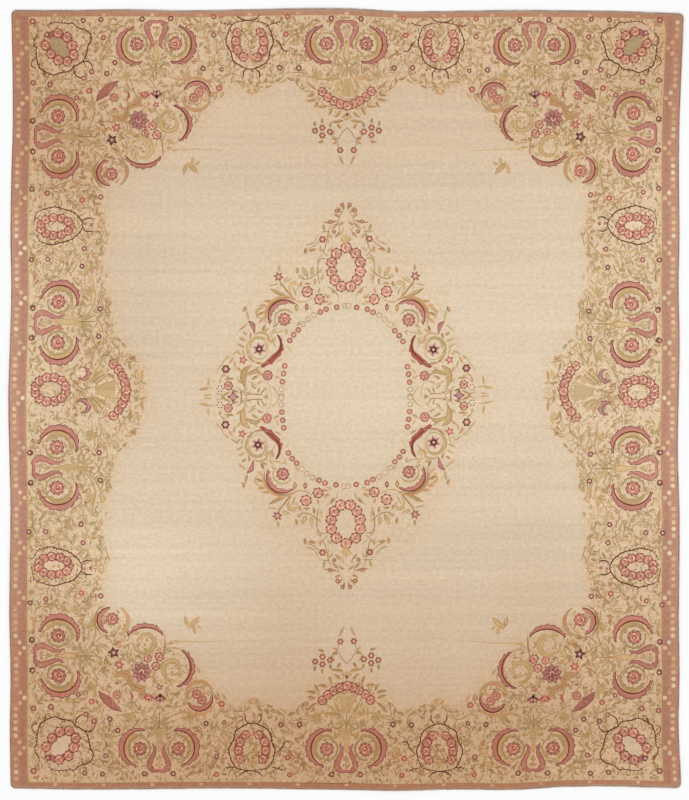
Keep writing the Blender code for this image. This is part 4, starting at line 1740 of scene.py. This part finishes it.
def border_share(across, down):
    """How much of the borders' yellower ground shows at some places: 1 in the borders, 0 in the field."""
    share = np.zeros(len(across))
    for reach in (4, 9):
        for turn in range(0, 360, 45):
            at_across = MIRROR_ACROSS - np.abs(across + reach * math.cos(math.radians(turn)) - MIRROR_ACROSS)
            at_down = MIRROR_DOWN - np.abs(down + reach * math.sin(math.radians(turn)) - MIRROR_DOWN)
            column = np.clip((at_across / CELL).astype(int), 0, in_field.shape[1] - 1)
            row = np.clip((at_down / CELL).astype(int), 0, in_field.shape[0] - 1)
            share += np.where(in_field[row, column], 0.45 * (in_medallion & ~open_oval)[row, column], 1.0)
    return share / 16


EDGE_ROLL = 0.0025
BACK_ROLL = 0.0004
SEAM_LAP = 0.0002
pile = build_slab("knotted_pile", True, THICKNESS - PILE_HEIGHT, THICKNESS, EDGE_ROLL)
foundation = build_slab("knotted_back", False, 0.0, THICKNESS - PILE_HEIGHT + SEAM_LAP, BACK_ROLL)
for slab in (pile, foundation):
    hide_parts("carpet")
    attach(slab, "root")

# The overcast edges. A cord of yarns along each side of the carpet is wrapped over and over with wool, faded
# rose brown down the sides and grey brown across the ends. Each wrap stands up as a slanting ridge, drawn at
# twice the width of a real one.
CORD_RADIUS = 0.0035
CORD_GAP = 0.0003
CORD_END_GAP = 0.0008
CORD_SIDES = 8
WRAP_PITCH = 0.006
WRAP_DEPTH = 0.16
WRAP_SLANT = 0.0016


def cord_lines():
    """The middle line of each cord on the floor, from corner to corner, anticlockwise round the carpet."""
    ring = [complex(*on_floor(at)) for at in same_way_round(outline)]
    count = len(ring)
    moved = []
    for k, at in enumerate(ring):
        ahead = ring[(k + 1) % count] - ring[k - 1]
        moved.append(at - 1j * ahead / abs(ahead) * (CORD_RADIUS + CORD_GAP))
    corners = [
        max(range(count), key=lambda k: way_x * moved[k].real + way_y * moved[k].imag)
        for way_x, way_y in ((-1, -1), (1, -1), (1, 1), (-1, 1))
    ]
    lines = {}
    for k, name in enumerate(("end_cord_bottom", "side_cord_right", "end_cord_top", "side_cord_left")):
        start, end = corners[k], corners[(k + 1) % 4]
        lines[name] = [moved[(start + step) % count] for step in range((end - start) % count + 1)]
    return lines


def wrapped_cord(name, line):
    """A round cord along a line, with a ridge for every wrap and closed ends."""
    line = np.array(line)
    reach = np.concatenate([[0], np.cumsum(np.abs(np.diff(line)))])
    rings = 2 * round((reach[-1] - 2 * CORD_END_GAP) / WRAP_PITCH)
    along = np.linspace(CORD_END_GAP, reach[-1] - CORD_END_GAP, rings + 1)
    middle = np.interp(along, reach, line.real) + 1j * np.interp(along, reach, line.imag)
    ahead = np.gradient(middle)
    ahead /= np.abs(ahead)
    bm = bmesh.new()
    bmesh.ops.create_grid(bm, x_segments=rings, y_segments=CORD_SIDES, size=0.5)
    for vert in bm.verts:
        ring = round((vert.co.x + 0.5) * rings)
        turn = 2 * math.pi * (vert.co.y + 0.5)
        radius = CORD_RADIUS * (1 - WRAP_DEPTH * (ring % 2))
        slant = WRAP_SLANT * math.sin(turn) * (0 < ring < rings)
        at = middle[ring] + ahead[ring] * (slant - 1j * radius * math.cos(turn))
        vert.co = (at.real, at.imag, radius * math.sin(turn))
    bmesh.ops.remove_doubles(bm, verts=bm.verts[:], dist=0.00001)
    bmesh.ops.holes_fill(bm, edges=[edge for edge in bm.edges if edge.is_boundary], sides=CORD_SIDES)
    bmesh.ops.recalc_face_normals(bm, faces=bm.faces[:])
    beds = lift(np.array([vert.co.x for vert in bm.verts]), np.array([vert.co.y for vert in bm.verts]))
    for vert, bed in zip(bm.verts, beds):
        vert.co.z += CORD_RADIUS + bed
    mesh = bpy.data.meshes.new(name)
    bm.to_mesh(mesh)
    bm.free()
    mesh.shade_smooth()
    cord = bpy.data.objects.new(name, mesh)
    bpy.context.scene.collection.objects.link(cord)
    return cord


def overcast_wool(name, hex_colour, worn_colour, wraps):
    """Wrapped yarn: wraps of slightly different shade, worn through to a paler grey in places."""
    material, shader = new_material(name)
    place = add_node(material, "ShaderNodeTexCoord").outputs["Object"]
    strands = streaks(material, place, wraps, detail=2.0)
    wear = add_node(
        material, "ShaderNodeTexNoise", {"Vector": place, "Scale": 14.0, "Detail": 4.0}
    ).outputs["Fac"]
    worn = risen(material, wear, 0.42, 0.62)
    colour = mixed_by(material, worn, (*linear(hex_colour), 1.0), (*linear(worn_colour), 1.0))
    light = weighted_sum(material, [(strands, 0.5)], 1.0)
    dyed = add_node(material, "ShaderNodeHueSaturation", {"Color": colour, "Value": light})
    bump = add_node(material, "ShaderNodeBump", {"Height": strands, "Strength": 0.4, "Distance": 0.0005})
    material.node_tree.links.new(dyed.outputs["Color"], shader.inputs["Base Color"])
    material.node_tree.links.new(bump.outputs["Normal"], shader.inputs["Normal"])
    shader.inputs["Roughness"].default_value = 0.9
    shader.inputs["Specular IOR Level"].default_value = 0.15
    return material


side_wool = overcast_wool("faded rose brown overcasting wool", "#A8705C", "#B98E7A", (0.0, 420.0, 0.0))
end_wool = overcast_wool("grey brown overcasting wool", "#A78570", "#C3AE9C", (420.0, 0.0, 0.0))
for name, line in cord_lines().items():
    cord = wrapped_cord(f"overcast_{name}", line)
    cord.data.materials.append(side_wool if name.startswith("side") else end_wool)
    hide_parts(name)
    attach(cord, "root")

# The floor and the light: a plain pale floor, an even white sky and a broad soft light from above.
floor_material, floor_shader = new_material("pale matt studio floor")
floor_shader.inputs["Base Color"].default_value = (*linear("#F4F5F5"), 1.0)
floor_shader.inputs["Roughness"].default_value = 0.9
bpy.ops.mesh.primitive_plane_add(size=40.0)
floor = bpy.context.object
floor.name = "studio_floor"
floor.data.materials.append(floor_material)

world = bpy.data.worlds.new("white studio")
world.use_nodes = True
world.node_tree.nodes["Background"].inputs["Color"].default_value = (1.0, 1.0, 1.0, 1.0)
world.node_tree.nodes["Background"].inputs["Strength"].default_value = 0.78
bpy.context.scene.world = world

key_data = bpy.data.lights.new("broad soft key", "SUN")
key_data.energy = 1.1
key_data.angle = math.radians(40)
key = bpy.data.objects.new("broad soft key", key_data)
key.rotation_euler = (math.radians(28), math.radians(-18), 0)
bpy.context.scene.collection.objects.link(key)
bpy.context.scene.view_settings.view_transform = "Standard"
